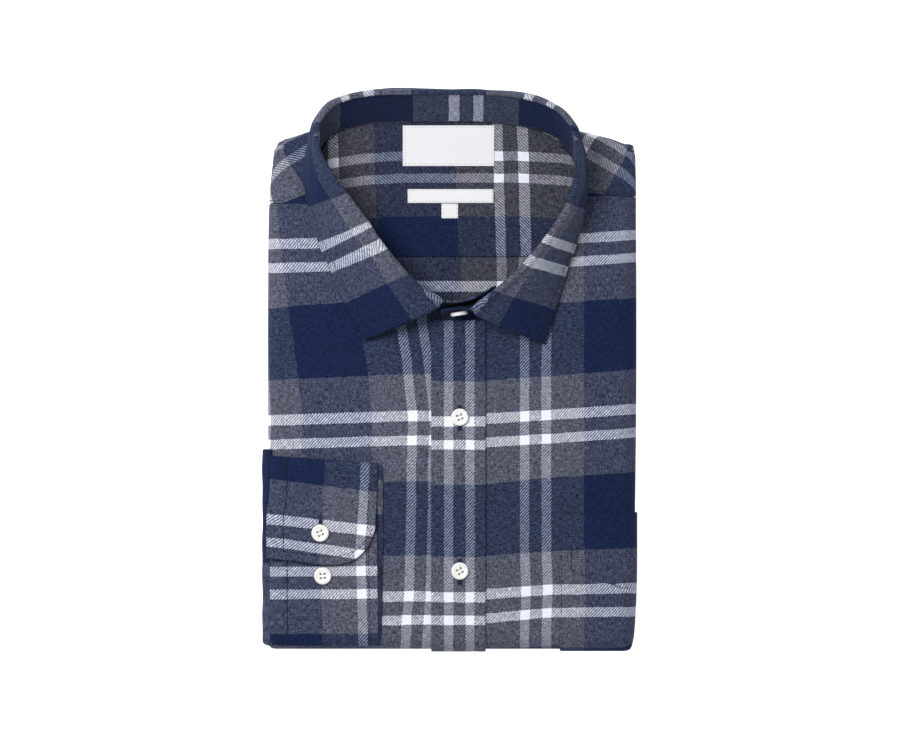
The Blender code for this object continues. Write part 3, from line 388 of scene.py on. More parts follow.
def in_plan(rows, part):
    return joined(rows[f"{part}_x"], rows[f"{part}_y"])


def outward(rows):
    """Unit direction in plan from the roll to the leaf's edge at each section."""
    return unit(in_plan(rows, "edge") - in_plan(rows, "roll"))


def neckline(stations):
    """The neck seam in plan: the foot of the stand."""
    rows = collar_rows(stations)
    return in_plan(rows, "roll") + outward(rows) * STAND_IN_ROLL - joined(0.0, rows["lean"])


NECK = neckline(241)
NECK_FINE = np.vstack([[(FRONTS_MEET, NECK[0][1])], NECK, [(FRONTS_MEET, NECK[-1][1])]])


def round_neck(x, y):
    """Direction and distance of a point from the middle of the neck."""
    x, y = x - NECK_CENTRE[0], y - NECK_CENTRE[1]
    return np.arctan2(x, y), np.hypot(x, y)


def neck_ratio(x, y):
    """0 at the middle of the neck, 1 on the neck seam."""
    turn, reach = round_neck(*NECK.T)
    order = np.argsort(turn)
    at, distance = round_neck(x, y)
    return distance / np.interp(at, turn[order], reach[order], period=2 * math.pi)


def inner_height(x, y):
    """Height of the inner yoke and the back, which sink inside the neck."""
    hollow = NECK_HOLLOW * (1.0 - smooth(*HOLLOW_SIDES, neck_ratio(x, y)))
    return plan_height(x, y) - WALL - SEAM - hollow


neck_round = np.linalg.norm(np.diff(NECK, axis=0), axis=1).sum()
print("the neck seam is", round(neck_round), "mm round")

# %% [markdown]
# ## The plaid
#
# A plaid is two sets of stripes: the warp's, which run along the cloth, and the weft's, which cross it.
# Both have the same order here: two narrow white stripes, a grey band, a wide navy band, a grey band. On
# a UV map measured in millimetres of plaid, u counts across the warp's stripes from the start of a white
# pair, and w across the weft's. So one material serves every piece, and laying the plaid on a piece means
# only saying which u and w each of its points has, as a cutter does when matching checks.

# %% The sett and where it lies on each piece
WHITE_WARP, GAP_WARP = 6.0, 7.7
WHITE_WEFT, GAP_WEFT = 6.5, 9.3
GREY_BAND = 23.4
NAVY_WARP, NAVY_WEFT = 45.5, 48.1
WARP_REPEAT = 2 * WHITE_WARP + GAP_WARP + 2 * GREY_BAND + NAVY_WARP
WEFT_REPEAT = 2 * WHITE_WEFT + GAP_WEFT + 2 * GREY_BAND + NAVY_WEFT
PAIR_WARP = 2 * WHITE_WARP + GAP_WARP
PAIR_WEFT = 2 * WHITE_WEFT + GAP_WEFT
NAVY_FROM_WARP = PAIR_WARP + GREY_BAND
NAVY_FROM_WEFT = PAIR_WEFT + GREY_BAND

# Where the weft's bands start on the two fronts, at two or three places across, and on the placket.
RIGHT_PLACES = (-118.0, -27.6)
RIGHT_ROWS = table(
    "w side middle",
    (-140.6, 108.7, 109.6), (-117.2, 86.3, 87.4), (-94.9, 64.2, 66.6), (-71.5, 41.1, 48.4),
    (-23.4, -5.6, -1.6), (0, -28.4, -25.5), (22.3, -50.6, -47.8), (45.7, -74.1, -71.2),
    (93.8, -121.9, -119.3), (117.2, -145.3, -142.7), (139.5, -167.1, -164.5),
)
LEFT_PLACES = (23.7, 66.0, 121.2)
LEFT_ROWS = table(
    "w placket middle side",
    (-117.2, 86.8, 88.7, 92),
    (-94.9, 65.7, 67.6, 71.2),
    (-71.5, 42.6, 44.5, 47.8),
    (-23.4, -5.9, -2.9, 1.5),
    (0, -27.3, -24.8, -21),
    (22.3, -49.1, -46.6, -42.8),
    (45.7, -73.1, -68.8, -65.3),
    (93.8, -119.9, -116.8, -114.7),
    (117.2, -141.4, -138.5, -137.5),
    (139.5, -163.5, -159.6, -158.9),
)
PLACKET_ROWS = table(
    "w y",
    (-117.2, 84.8), (-94.9, 64.7), (-71.5, 42.2), (-23.4, -6.4), (0, -29.2), (22.3, -50.6), (45.7, -73.6),
    (93.8, -120.4), (117.2, -143.5), (139.5, -164.6),
)
# Where the right front's navy warp band starts: it leans, because the cloth was drawn over when folded.
RIGHT_LEAN = table(
    "y x",
    (-181, -100.7), (-161.5, -99.9), (-145.3, -98.3), (-86.8, -96.8), (-63.4, -96.9), (-38, -95.9),
    (-28.9, -95.9), (-8.1, -98.2), (7.5, -99.8), (20.5, -102), (41.3, -105), (67.9, -108.2), (82.2, -110.6),
    (111.5, -114.1),
)
# The cloth's grey band is drawn this much longer where it turns down at the side, between these places.
FOLD_STRETCH, FOLD_STRETCH_AT = 0.9, (-119.0, -112.0)
# The left front's stripes are drawn over by this much at a place along it, over a reach.
LEFT_DRAWN, LEFT_DRAWN_AT, LEFT_DRAWN_REACH = 0.9, -142.0, 16.0
LEFT_STRIPES = table(
    "at plaid",
    (23.7, -22.1), (45.8, 0), (51.7, 6), (59.5, 13.7), (65.7, 19.7), (87.2, 43.1), (121.9, 78),
)
PLACKET_STRIPES = table(
    "at plaid",
    (-11.7, -8.1), (-3.6, 0), (2.3, 6), (10.1, 13.7), (16.2, 19.7), (23.7, 27.2),
)


def weft_between(rows, places, names, s, t):
    """How far down the plaid a point lies, between rows whose height is known at some places across."""
    heights = [np.interp(s, places, [getattr(row, name) for name in names.split()]) for row in rows]
    w = rows[0].w + (heights[0] - t)
    for k in range(len(rows) - 1):
        part = (heights[k] - t) / (heights[k] - heights[k + 1])
        w = np.where(part > 0, rows[k].w + part * (rows[k + 1].w - rows[k].w), w)
    return w


def right_front_plaid(s, t):
    start = read(RIGHT_LEAN, "y x", t, along)
    u = NAVY_FROM_WARP + s - start + FOLD_STRETCH * (1.0 - smooth(*FOLD_STRETCH_AT, s))
    return u, weft_between(RIGHT_ROWS, RIGHT_PLACES, "side middle", s, t)


def left_front_plaid(s, t):
    drawn = LEFT_DRAWN * np.exp(-(((t - LEFT_DRAWN_AT) / LEFT_DRAWN_REACH) ** 2))
    u = read(LEFT_STRIPES, "at plaid", s, along) - drawn
    return u, weft_between(LEFT_ROWS, LEFT_PLACES, "placket middle side", s, t)


def placket_plaid(s, t):
    u = read(PLACKET_STRIPES, "at plaid", s, along)
    return u, weft_between(PLACKET_ROWS, (0.0, 1.0), "y y", s, t)


print("the plaid repeats every", round(WARP_REPEAT, 1), "by", round(WEFT_REPEAT, 1), "mm")

# %% [markdown]
# ## Shader arithmetic
#
# A weave is arithmetic on u and w. Written as nodes it is hard to read, so one small class stands for a
# number in the shader and turns +, -, * and / into Math nodes. `Finish` holds one material and adds any
# other node: its kind, its settings, and then the values or links of its sockets.

# %% A shader number, and a finish


def feed(tree, socket, value):
    """Links or sets a socket."""
    value = getattr(value, "socket", value)
    if isinstance(value, bpy.types.NodeSocket):
        tree.links.new(value, socket)
    else:
        socket.default_value = value


def add_node(tree, kind, settings=None, sockets=None):
    made = tree.nodes.new(kind)
    for name, value in (settings or {}).items():
        setattr(made, name, value)
    for name, value in (sockets or {}).items():
        feed(tree, made.inputs[name], value)
    return made


def arithmetic(operation, turned=False):
    """What a Number does for one sign of arithmetic, or for the sign with the number on its right."""

    def combine(number, other):
        return number.finish.math(operation, *((other, number) if turned else (number, other)))

    return combine


class Number:
    """One number, colour or vector in a shader. Arithmetic on a number adds Math nodes."""

    def __init__(self, finish, socket):
        self.finish = finish
        self.socket = socket

    __add__ = __radd__ = arithmetic("ADD")
    __mul__ = __rmul__ = arithmetic("MULTIPLY")
    __sub__, __rsub__ = arithmetic("SUBTRACT"), arithmetic("SUBTRACT", turned=True)
    __truediv__ = arithmetic("DIVIDE")


class Finish:
    """A material, and the nodes that make it."""

    def __init__(self, name, **uniform):
        self.material = bpy.data.materials.new(name)
        self.material.use_nodes = True
        self.tree = self.material.node_tree
        self.shader = self.tree.nodes["Principled BSDF"]
        for socket, value in uniform.items():
            self.set(socket.replace("_", " "), value)

    def set(self, socket, value):
        feed(self.tree, self.shader.inputs[socket], value)

    def node(self, kind, settings=None, sockets=None, output=0):
        return Number(self, add_node(self.tree, kind, settings, sockets).outputs[output])

    def math(self, operation, *values):
        return self.node("ShaderNodeMath", {"operation": operation}, dict(enumerate(values)))

    def clamp(self, value):
        return self.node("ShaderNodeClamp", {}, {"Value": value})

    def mix(self, share, first, second):
        settings = {"data_type": "RGBA"}
        return self.node("ShaderNodeMix", settings, {0: share, 6: first, 7: second}, output=2)

    def red(self, colour):
        return self.node("ShaderNodeSeparateColor", {}, {"Color": colour})

    def place(self, u, w, depth=0.0):
        return self.node("ShaderNodeCombineXYZ", {}, {"X": u, "Y": w, "Z": depth})

    def chart(self):
        """Where a point lies on the plaid: both numbers as one vector, and then u and w."""
        at = self.node("ShaderNodeUVMap", {"uv_map": "plaid"})
        u = self.node("ShaderNodeSeparateXYZ", {}, {0: at})
        return at, u, Number(self, u.socket.node.outputs["Y"])

    def noise(self, at, scale, detail=2.0):
        return self.node("ShaderNodeTexNoise", {}, {"Vector": at, "Scale": scale, "Detail": detail})

    def bands(self, at, stops):
        """Flat bands of colour: at runs from 0 to 1, and each stop is where a band starts, and its colour."""
        ramp = add_node(self.tree, "ShaderNodeValToRGB")
        ramp.color_ramp.interpolation = "CONSTANT"
        bands = ramp.color_ramp.elements
        for k, (start, colour) in enumerate(stops):
            band = bands[k] if k < 2 else bands.new(start)
            band.position, band.color = start, (*colour, 1.0)
        feed(self.tree, ramp.inputs["Fac"], at)
        return Number(self, ramp.outputs["Color"])

    def bump(self, height, distance, strength):
        sockets = {"Height": height, "Distance": distance, "Strength": strength}
        self.set("Normal", self.node("ShaderNodeBump", {}, sockets))


# %% [markdown]
# ## Brushed flannel
#
# Real flannel is a twill whose surface has been brushed, so that short fibres blur the threads. Where the
# weft passes over the warp, the weft's colour shows, and the crossings step sideways by one thread in each
# row: that is the diagonal of a twill, clear in the white stripes and lost in the navy. So the shader
# picks the warp's or the weft's colour by a diagonal wave, softens the wave for the nap, and roughens
# both colours with fibre noise drawn out along their own threads. A sheen gives the soft bloom that
# brushed cotton has at grazing angles.
#
# Inside the neck the cloth is given darker greys and whites, and its white threads sink further between
# the dark ones that cross them: painted shade for the hollow of the neck. So each side has its own short
# set of numbers, and the inner yoke, which is cut a quarter round, has a third.

# %% The flannel
# The threads' colours as the eye judges them, from 0 for black to 1 for white. Brushed threads blend by
# eye and not by light, so they are mixed on this scale and turned into light last.
EYE_GAMMA = 2.2
WHITE_YARN = (0.83, 0.838, 0.875)
NAVY_YARN = (0.115, 0.147, 0.243)
WARP_COLOURS = {"white": WHITE_YARN, "navy": NAVY_YARN, "grey": (0.281, 0.289, 0.337)}
WEFT_COLOURS = {"white": WHITE_YARN, "navy": NAVY_YARN, "grey": (0.302, 0.310, 0.360)}
# Painted shade: darker yarns for the pieces inside the neck, standing for the shade in its hollow.
SHADED_INSIDE_COLOURS = {"white": (0.81, 0.817, 0.855), "navy": NAVY_YARN, "grey": (0.234, 0.240, 0.272)}
TWILL_ACROSS = 2.08  # one twill line to the next, across the warp
TWILL_DOWN = 2.24
TWILL_DEPTH = 0.30  # how far the weft's share swings from line to line, where a white thread crosses
TWILL_PLAIN = 0.62  # and how much of that is left between dark threads
WHITE_FROM, WHITE_GAIN = 0.9, 2.4  # how a stripe's lightness is turned into whether it is white
# Scales of the noise in the cloth, and how far a thread wanders from a ruled line, in mm.
WANDER_SCALE, WANDER_MM = 0.09, 1.1
FIBRE_ACROSS, FIBRE_ALONG = 1.1, 0.35
CLUMP_SCALE, BLOTCH_SCALE = 0.75, 0.14
FRAY = 0.2
# How much clumps, fibres and blotches lighten and darken the cloth, and how much less white ones do.
CLUMP_SHADE, FIBRE_SHADE, BLOTCH_SHADE = 0.55, 0.6, 0.22
WHITE_CALM = 0.45
# The lightness up to which cloth is navy, what it grows by to be grey, and how much mottle navy keeps.
NAVY_LIGHT, NAVY_SPAN, NAVY_MOTTLE = 0.12, 0.06, 0.55
TWILL_RISE, FIBRE_RISE, CLUMP_RISE = 0.3, 0.6, 0.8  # their parts in the height of the nap
NAP_METRES, NAP_STRENGTH = 0.00014, 0.7
MATT, MATT_CHANGE = 0.84, 0.14
# How much of a side the weft takes, and how much of a white thread sinks between dark ones that cross it.
ClothSide = namedtuple("ClothSide", "warp weft weft_share weft_hidden warp_hidden")
RIGHT_SIDE = ClothSide(WARP_COLOURS, WEFT_COLOURS, 0.60, 0.08, 0.27)
# The two inner sides hide more of their white threads, which darkens their white stripes: painted shade.
INNER_YOKE_PAINTED_SHADE = ClothSide(SHADED_INSIDE_COLOURS, SHADED_INSIDE_COLOURS, 0.46, 0.24, 0.42)
WRONG_SIDE_PAINTED_SHADE = ClothSide(SHADED_INSIDE_COLOURS, SHADED_INSIDE_COLOURS, 0.56, 0.17, 0.42)


def sett(colours, white, gap, navy, repeat):
    """The stripes' starts, as parts of the repeat, with their colours."""
    starts = np.cumsum([0.0, white, gap, white, GREY_BAND, navy]) / repeat
    names = ("white", "grey", "white", "grey", "navy", "grey")
    return [(float(start), colours[name]) for start, name in zip(starts, names)]


def make_flannel(name, side):
    flannel = Finish(
        name,
        Metallic=0.0,
        IOR=1.45,
        Specular_IOR_Level=0.0,
        Sheen_Weight=0.05,
        Sheen_Roughness=0.5,
        Sheen_Tint=(0.75, 0.8, 1.0, 1.0),
    )
    cloth_at, u, w = flannel.chart()
    # Threads wander a little, so no stripe is ruled.
    wander = flannel.noise(cloth_at, WANDER_SCALE, 1.0)
    u_bent = u + (wander - 0.5) * WANDER_MM
    w_bent = w - (wander - 0.5) * WANDER_MM
    warp_at = flannel.math("FRACT", u_bent / WARP_REPEAT)
    weft_at = flannel.math("FRACT", w_bent / WEFT_REPEAT)
    warp = flannel.bands(warp_at, sett(side.warp, WHITE_WARP, GAP_WARP, NAVY_WARP, WARP_REPEAT))
    weft = flannel.bands(weft_at, sett(side.weft, WHITE_WEFT, GAP_WEFT, NAVY_WEFT, WEFT_REPEAT))
    # The twill: a diagonal wave, frayed by the nap, that swings the weft's share of the face.
    warp_fibre = flannel.noise(flannel.place(u * FIBRE_ACROSS, w * FIBRE_ALONG), 1.0, 0.0)
    weft_fibre = flannel.noise(flannel.place(u * FIBRE_ALONG, w * FIBRE_ACROSS, depth=7.0), 1.0, 0.0)
    wave = flannel.math("SINE", (u / TWILL_ACROSS + w / TWILL_DOWN) * (2 * math.pi))
    fray = (warp_fibre - weft_fibre) * FRAY
    warp_white = flannel.clamp(flannel.red(warp) * WHITE_GAIN - WHITE_FROM)
    weft_white = flannel.clamp(flannel.red(weft) * WHITE_GAIN - WHITE_FROM)
    swing = flannel.clamp(warp_white + weft_white) * (1.0 - TWILL_PLAIN) + TWILL_PLAIN
    weft_up = flannel.clamp(wave * swing * TWILL_DEPTH + fray + side.weft_share)
    weft_up = weft_up * (1.0 - weft_white * (1.0 - warp_white) * side.weft_hidden)
    weft_up = 1.0 - (1.0 - weft_up) * (1.0 - warp_white * (1.0 - weft_white) * side.warp_hidden)
    face = flannel.mix(weft_up, warp, weft)
    # Melange: pale and dark fibres in clumps, and slow changes in how much the cloth was brushed.
    blotch = flannel.noise(cloth_at, BLOTCH_SCALE)
    clump = flannel.noise(flannel.place(u, w, depth=3.0), CLUMP_SCALE, 1.0)
    mottle = (clump - 0.5) * CLUMP_SHADE + (warp_fibre + weft_fibre - 1.0) * FIBRE_SHADE
    mottle = mottle + (blotch - 0.5) * BLOTCH_SHADE
    mottle = mottle * (1.0 - warp_white * WHITE_CALM - weft_white * WHITE_CALM)
    # The navy is the most even: it was dyed in the yarn, with no pale fibres in it.
    grey = flannel.clamp((flannel.red(face) - NAVY_LIGHT) / NAVY_SPAN)
    mottle = mottle * (grey * (1.0 - NAVY_MOTTLE) + NAVY_MOTTLE)
    face = flannel.node("ShaderNodeVectorMath", {"operation": "SCALE"}, {0: face, "Scale": 1.0 + mottle})
    face = flannel.node("ShaderNodeGamma", {}, {"Color": face, "Gamma": EYE_GAMMA})
    flannel.set("Base Color", face)
    flannel.set("Roughness", MATT + warp_fibre * MATT_CHANGE)
    nap = wave * TWILL_RISE + warp_fibre * FIBRE_RISE + weft_fibre * FIBRE_RISE + clump * CLUMP_RISE
    flannel.bump(nap, NAP_METRES, NAP_STRENGTH)
    return flannel.material


FLANNEL = make_flannel("brushed_flannel", RIGHT_SIDE)
FLANNEL_YOKE_PAINTED_SHADE = make_flannel("flannel_inner_yoke_painted_shade", INNER_YOKE_PAINTED_SHADE)
FLANNEL_INSIDE_PAINTED_SHADE = make_flannel("flannel_wrong_side_painted_shade", WRONG_SIDE_PAINTED_SHADE)
print("flannel nodes:", len(FLANNEL.node_tree.nodes), "and as many for each of the darker sides")

# %% [markdown]
# ## Thread, label ribbon and buttons
#
# The seams are sewn with a dark cotton thread and the labels with a white one, which is greyed as painted
# shade for the holes that its stitches sink into. The slits under the buttons have a dark thread of their
# own, which is in part painted shade round each button. The labels are satin ribbon, with the fine ribs of
# its weave. The buttons are cast and polished white resin, with a little warmth and the faint clouds that
# such buttons have.

# %% The other finishes
RIB_PITCH, END_PITCH = 0.55, 0.9  # the ribbon's ribs and the threads that cross them, in mm
RIBBON_DEEP, RIBBON_PALE = (0.58, 0.575, 0.60, 1.0), (0.71, 0.705, 0.725, 1.0)
RESIN_DEEP, RESIN_PALE = (0.64, 0.63, 0.605, 1.0), (0.75, 0.745, 0.72, 1.0)
TWIST_SCALE = 5200.0
CLOUD_SCALE, POLISH_SCALE = 210.0, 2600.0


def object_place(finish):
    return finish.node("ShaderNodeTexCoord", output="Object")


def make_thread(name, pale, deep):
    thread = Finish(name, Metallic=0.0, Specular_IOR_Level=0.12)
    twist = thread.noise(object_place(thread), TWIST_SCALE)
    thread.set("Base Color", thread.mix(twist, (*pale, 1.0), (*deep, 1.0)))
    thread.set("Roughness", 0.55 + twist * 0.3)
    thread.bump(twist, distance=0.0001, strength=0.6)
    return thread.material


def make_ribbon():
    ribbon = Finish("label_ribbon", Metallic=0.0, Specular_IOR_Level=0.4, Sheen_Weight=0.08)
    _, u, w = ribbon.chart()
    ribs = ribbon.math("SINE", w * (2 * math.pi / RIB_PITCH))
    ends = ribbon.math("SINE", (u + w * 0.4) * (2 * math.pi / END_PITCH))
    slub = ribbon.noise(ribbon.place(u * 0.25, w * 2.2), 1.0)
    shade = ribbon.clamp(0.5 + ribs * 0.14 + ends * 0.06 + (slub - 0.5) * 0.9)
    ribbon.set("Base Color", ribbon.mix(shade, RIBBON_DEEP, RIBBON_PALE))
    ribbon.set("Roughness", 0.48 + slub * 0.2)
    ribbon.bump(ribs * 0.5 + slub, distance=0.00012, strength=0.5)
    return ribbon.material


def make_resin():
    resin = Finish("button_resin", Metallic=0.0, IOR=1.5, Specular_IOR_Level=0.5, Coat_IOR=1.5)
    at = object_place(resin)
    cloud = resin.noise(at, CLOUD_SCALE, detail=3.0)
    resin.set("Base Color", resin.mix(cloud, RESIN_DEEP, RESIN_PALE))
    resin.set("Roughness", 0.16 + cloud * 0.16)
    resin.bump(resin.noise(at, POLISH_SCALE), distance=0.00004, strength=0.3)
    return resin.material


NAVY_THREAD = make_thread("navy_thread", (0.010, 0.013, 0.030), (0.004, 0.006, 0.015))
# Painted shade in part: the thread of the slits under the buttons is dark, for the shade round each button.
HOLE_THREAD_WITH_SHADE = make_thread("buttonhole_thread_with_painted_shade", (0.024, 0.027, 0.055), (0.008, 0.010, 0.024))
# Painted shade in part: the white thread is greyed, for the holes that its stitches sink into.
WHITE_THREAD_GREYED_FOR_SHADE = make_thread("white_thread_greyed_for_shade", (0.52, 0.515, 0.51), (0.36, 0.355, 0.35))
RIBBON = make_ribbon()
RESIN = make_resin()

# %% [markdown]
# ## A shell of cloth
#
# Cloth has two faces and an edge that is folded under, so it ends in a soft round and not in a cut. The
# maker below takes two grids of points, the outer and the inner face, and draws the two faces together
# near the edge along a half circle. The faces meet there, so the shell is closed. Where an edge is
# topstitched, the cloth is pulled in along the stitches, so a shallow groove can follow the edge.

# %% The shell maker
GROOVE_REACH = 0.8  # how far to each side of a row of stitches the cloth is pulled in


def steps(length, spacing, fine=0.7):
    """Distances from 0 to length, with extra ones close to both ends where the edge rounds over."""
    near = fine * np.array([0.0, 0.06, 0.22, 0.55])
    count = max(2, math.ceil((length - 2 * fine) / spacing))
    middle = np.linspace(fine, length - fine, count + 1)
    return np.concatenate([near, middle, length - near[::-1]])


def shares(length, spacing, fine=0.7):
    """The same, as shares of the length."""
    return steps(length, spacing, fine) / length


def distances(points, axis):
    """Distance along one axis of a grid from its first line."""
    leg = np.linalg.norm(np.diff(points, axis=axis), axis=-1)
    zero = np.zeros_like(np.take(leg, [0], axis=axis))
    return np.concatenate([zero, np.cumsum(leg, axis=axis)], axis=axis)


def edge_distances(points):
    """Distance of each grid point from the grid's four edges: first row, last row, first and last column."""
    down = distances(points, 0)
    across = distances(points, 1)
    return down, down[-1:] - down, across, across[:, -1:] - across


def put(name, made):
    """A new object in the scene."""
    thing = bpy.data.objects.new(name, made)
    bpy.context.scene.collection.objects.link(thing)
    return thing


def put_piece(name, mesh, slot, *nodes):
    """A piece of the shirt from its mesh, and the solids that it stands for."""
    mesh.shade_smooth()
    piece = put(name, mesh)
    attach(piece, "root")
    if nodes:
        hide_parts(*nodes)
    return piece


def mesh_piece(name, points, faces, plaid, material, slot, *nodes):
    """A piece from points in millimetres and faces, with the plaid's u and w as its UV map."""
    mesh = bpy.data.meshes.new(name)
    mesh.from_pydata((points * MM).tolist(), [], faces)
    layer = mesh.uv_layers.new(name="plaid")
    corner = np.empty(len(mesh.loops), np.int32)
    mesh.loops.foreach_get("vertex_index", corner)
    layer.data.foreach_set("uv", plaid[corner].astype(np.float32).ravel())
    mesh.materials.append(material)
    data = bmesh.new()
    data.from_mesh(mesh)
    if data.calc_volume(signed=True) < 0:
        bmesh.ops.reverse_faces(data, faces=data.faces[:])
    data.to_mesh(mesh)
    data.free()
    return put_piece(name, mesh, slot, *nodes)


def grid_faces(index):
    """Quads between the points of a grid of vertex numbers."""
    a, b, c, d = index[:-1, :-1], index[1:, :-1], index[1:, 1:], index[:-1, 1:]
    return joined(a, b, c, d).reshape(-1, 4)


def shell(node, outer, inner, plaid, material=FLANNEL, slot="flannel", stuff="cloth", grooves=()):
    """A closed shell between two grids of points, rounded at its four edges, in place of a solid.

    A groove is (depth, distance from the edge, which edges): a line along which it is topstitched.
    """
    name = f"{node}_{stuff}"
    middle = (outer + inner) / 2
    half = (outer - inner) / 2
    radius = float(np.median(np.linalg.norm(half, axis=-1)))
    edges = edge_distances(middle)
    nearest = np.clip(np.minimum.reduce(edges) / radius, 0.0, 1.0)
    full = np.sqrt(1.0 - (1.0 - nearest) ** 2)
    outer_full = full
    for depth, inset, sides in grooves:
        gap = np.minimum.reduce([edges[k] for k in sides]) - inset
        outer_full = outer_full - depth / radius * np.exp(-((gap / GROOVE_REACH) ** 2))
    index = np.arange(full.size).reshape(full.shape)
    back = index + full.size
    back[0], back[-1], back[:, 0], back[:, -1] = index[0], index[-1], index[:, 0], index[:, -1]
    points = np.concatenate([middle + half * outer_full[..., None], middle - half * full[..., None]])
    chart = joined(*plaid).reshape(-1, 2)
    faces = np.concatenate([grid_faces(index), grid_faces(back)[:, ::-1]])
    used, faces = np.unique(faces, return_inverse=True)
    faces = faces.reshape(-1, 4).tolist()
    chart = np.concatenate([chart, chart])[used]
    piece = mesh_piece(name, points.reshape(-1, 3)[used], faces, chart, material, slot, node)
    print(f"{name}: {2 * len(faces)} triangles, {2 * radius:.1f} mm thick")
    return piece


def declare(piece, width, length):
    """Turns the cut of a piece of cloth from millimetres into metres, and keeps it nowhere."""
    width, length = width * MM, length * MM


def sheet_shell(node, s, t, low, high, plaid, **more):
    """A shell on the folded sheet, between two lifts."""
    return shell(node, sheet(s, t, high), sheet(s, t, low), plaid, **more)


# %% [markdown]
# ## The layers folded behind
#
# Everything behind the fronts is one rounded pack: the back, the tails and the other sleeve, folded in
# and pressed flat. Nothing of it shows from above, but its edges show from the sides as a stack of soft
# folds. The pack's top follows the same sheet a little deeper, and its edge is a short profile of how far
# in each layer lies, swept round the outline. Real folds never stack exactly, so each layer's edge
# wanders by its own slow waves.

# %% The folded layers
CORE_LIP = 19.5
CORE_GAP = 0.5  # between the fronts and the pack on the flat, and as much again at the folds
RESUMES = (2.0, 14.0)  # past the inner yoke's margin the pack rises again between these
CORE_CELL, CORE_GRID = 1.5, (60, 88)
CORE_TURNS = (0, 5)  # how far past the flat part the pack starts to turn down
NECK_DEEPER, NECK_FADES = 0.6, (9.5, 15)  # under the neck it lies deeper as it turns, and then no more
CORE_PLAID_AT = (31.0, 40.0)
LOOSE_INSET, LEAST_INSET = 0.6, 0.3
LAYER_SPREAD = 1.2  # how far the plaid runs on from one line of the edge to the next
UNDERSIDE_SHARES = (0.93, 0.75, 0.5, 0.25, 0.06)
LAYER_EDGES = table(
    "inset z loose",
    (2.6, 7.9, 0), (1.5, 7.75, 0.4), (0.8, 7.3, 0.8), (0.5, 6.6, 1), (0.55, 5.9, 1), (1, 5.2, 0.8),
    (2.2, 4.75, 0.5), (4.4, 4.5, 0.2), (4.4, 4.4, -0.2), (2, 4.3, -0.5), (1.1, 3.95, -0.8), (0.7, 3.3, -1),
    (0.7, 2.6, -1), (1, 1.8, -1), (1.5, 1, -0.8), (2.1, 0.4, -0.5), (2.8, 0.1, -0.3), (3.8, 0, 0),
)
UPPER_WANDER = table("waves phase size", (3, 0.6, 0.45), (7, 2.1, 0.3), (16, 4.0, 0.14))
LOWER_WANDER = table("waves phase size", (2, 3.9, 0.5), (9, 0.4, 0.26), (13, 1.5, 0.16))


def wandering(waves, turn):
    return sum(row.size * np.sin(row.waves * turn + row.phase) for row in waves)


def out_to_lips(count):
    """Shares of the flat part with a lip past each end, and how far into a lip each place lies."""
    fold = np.append(np.arange(CORE_CELL, CORE_LIP, CORE_CELL), CORE_LIP)
    none = np.zeros(len(fold))
    flat = np.concatenate([none, np.linspace(0.0, 1.0, count), none + 1.0])
    return flat, np.concatenate([-fold[::-1], np.zeros(count), fold])


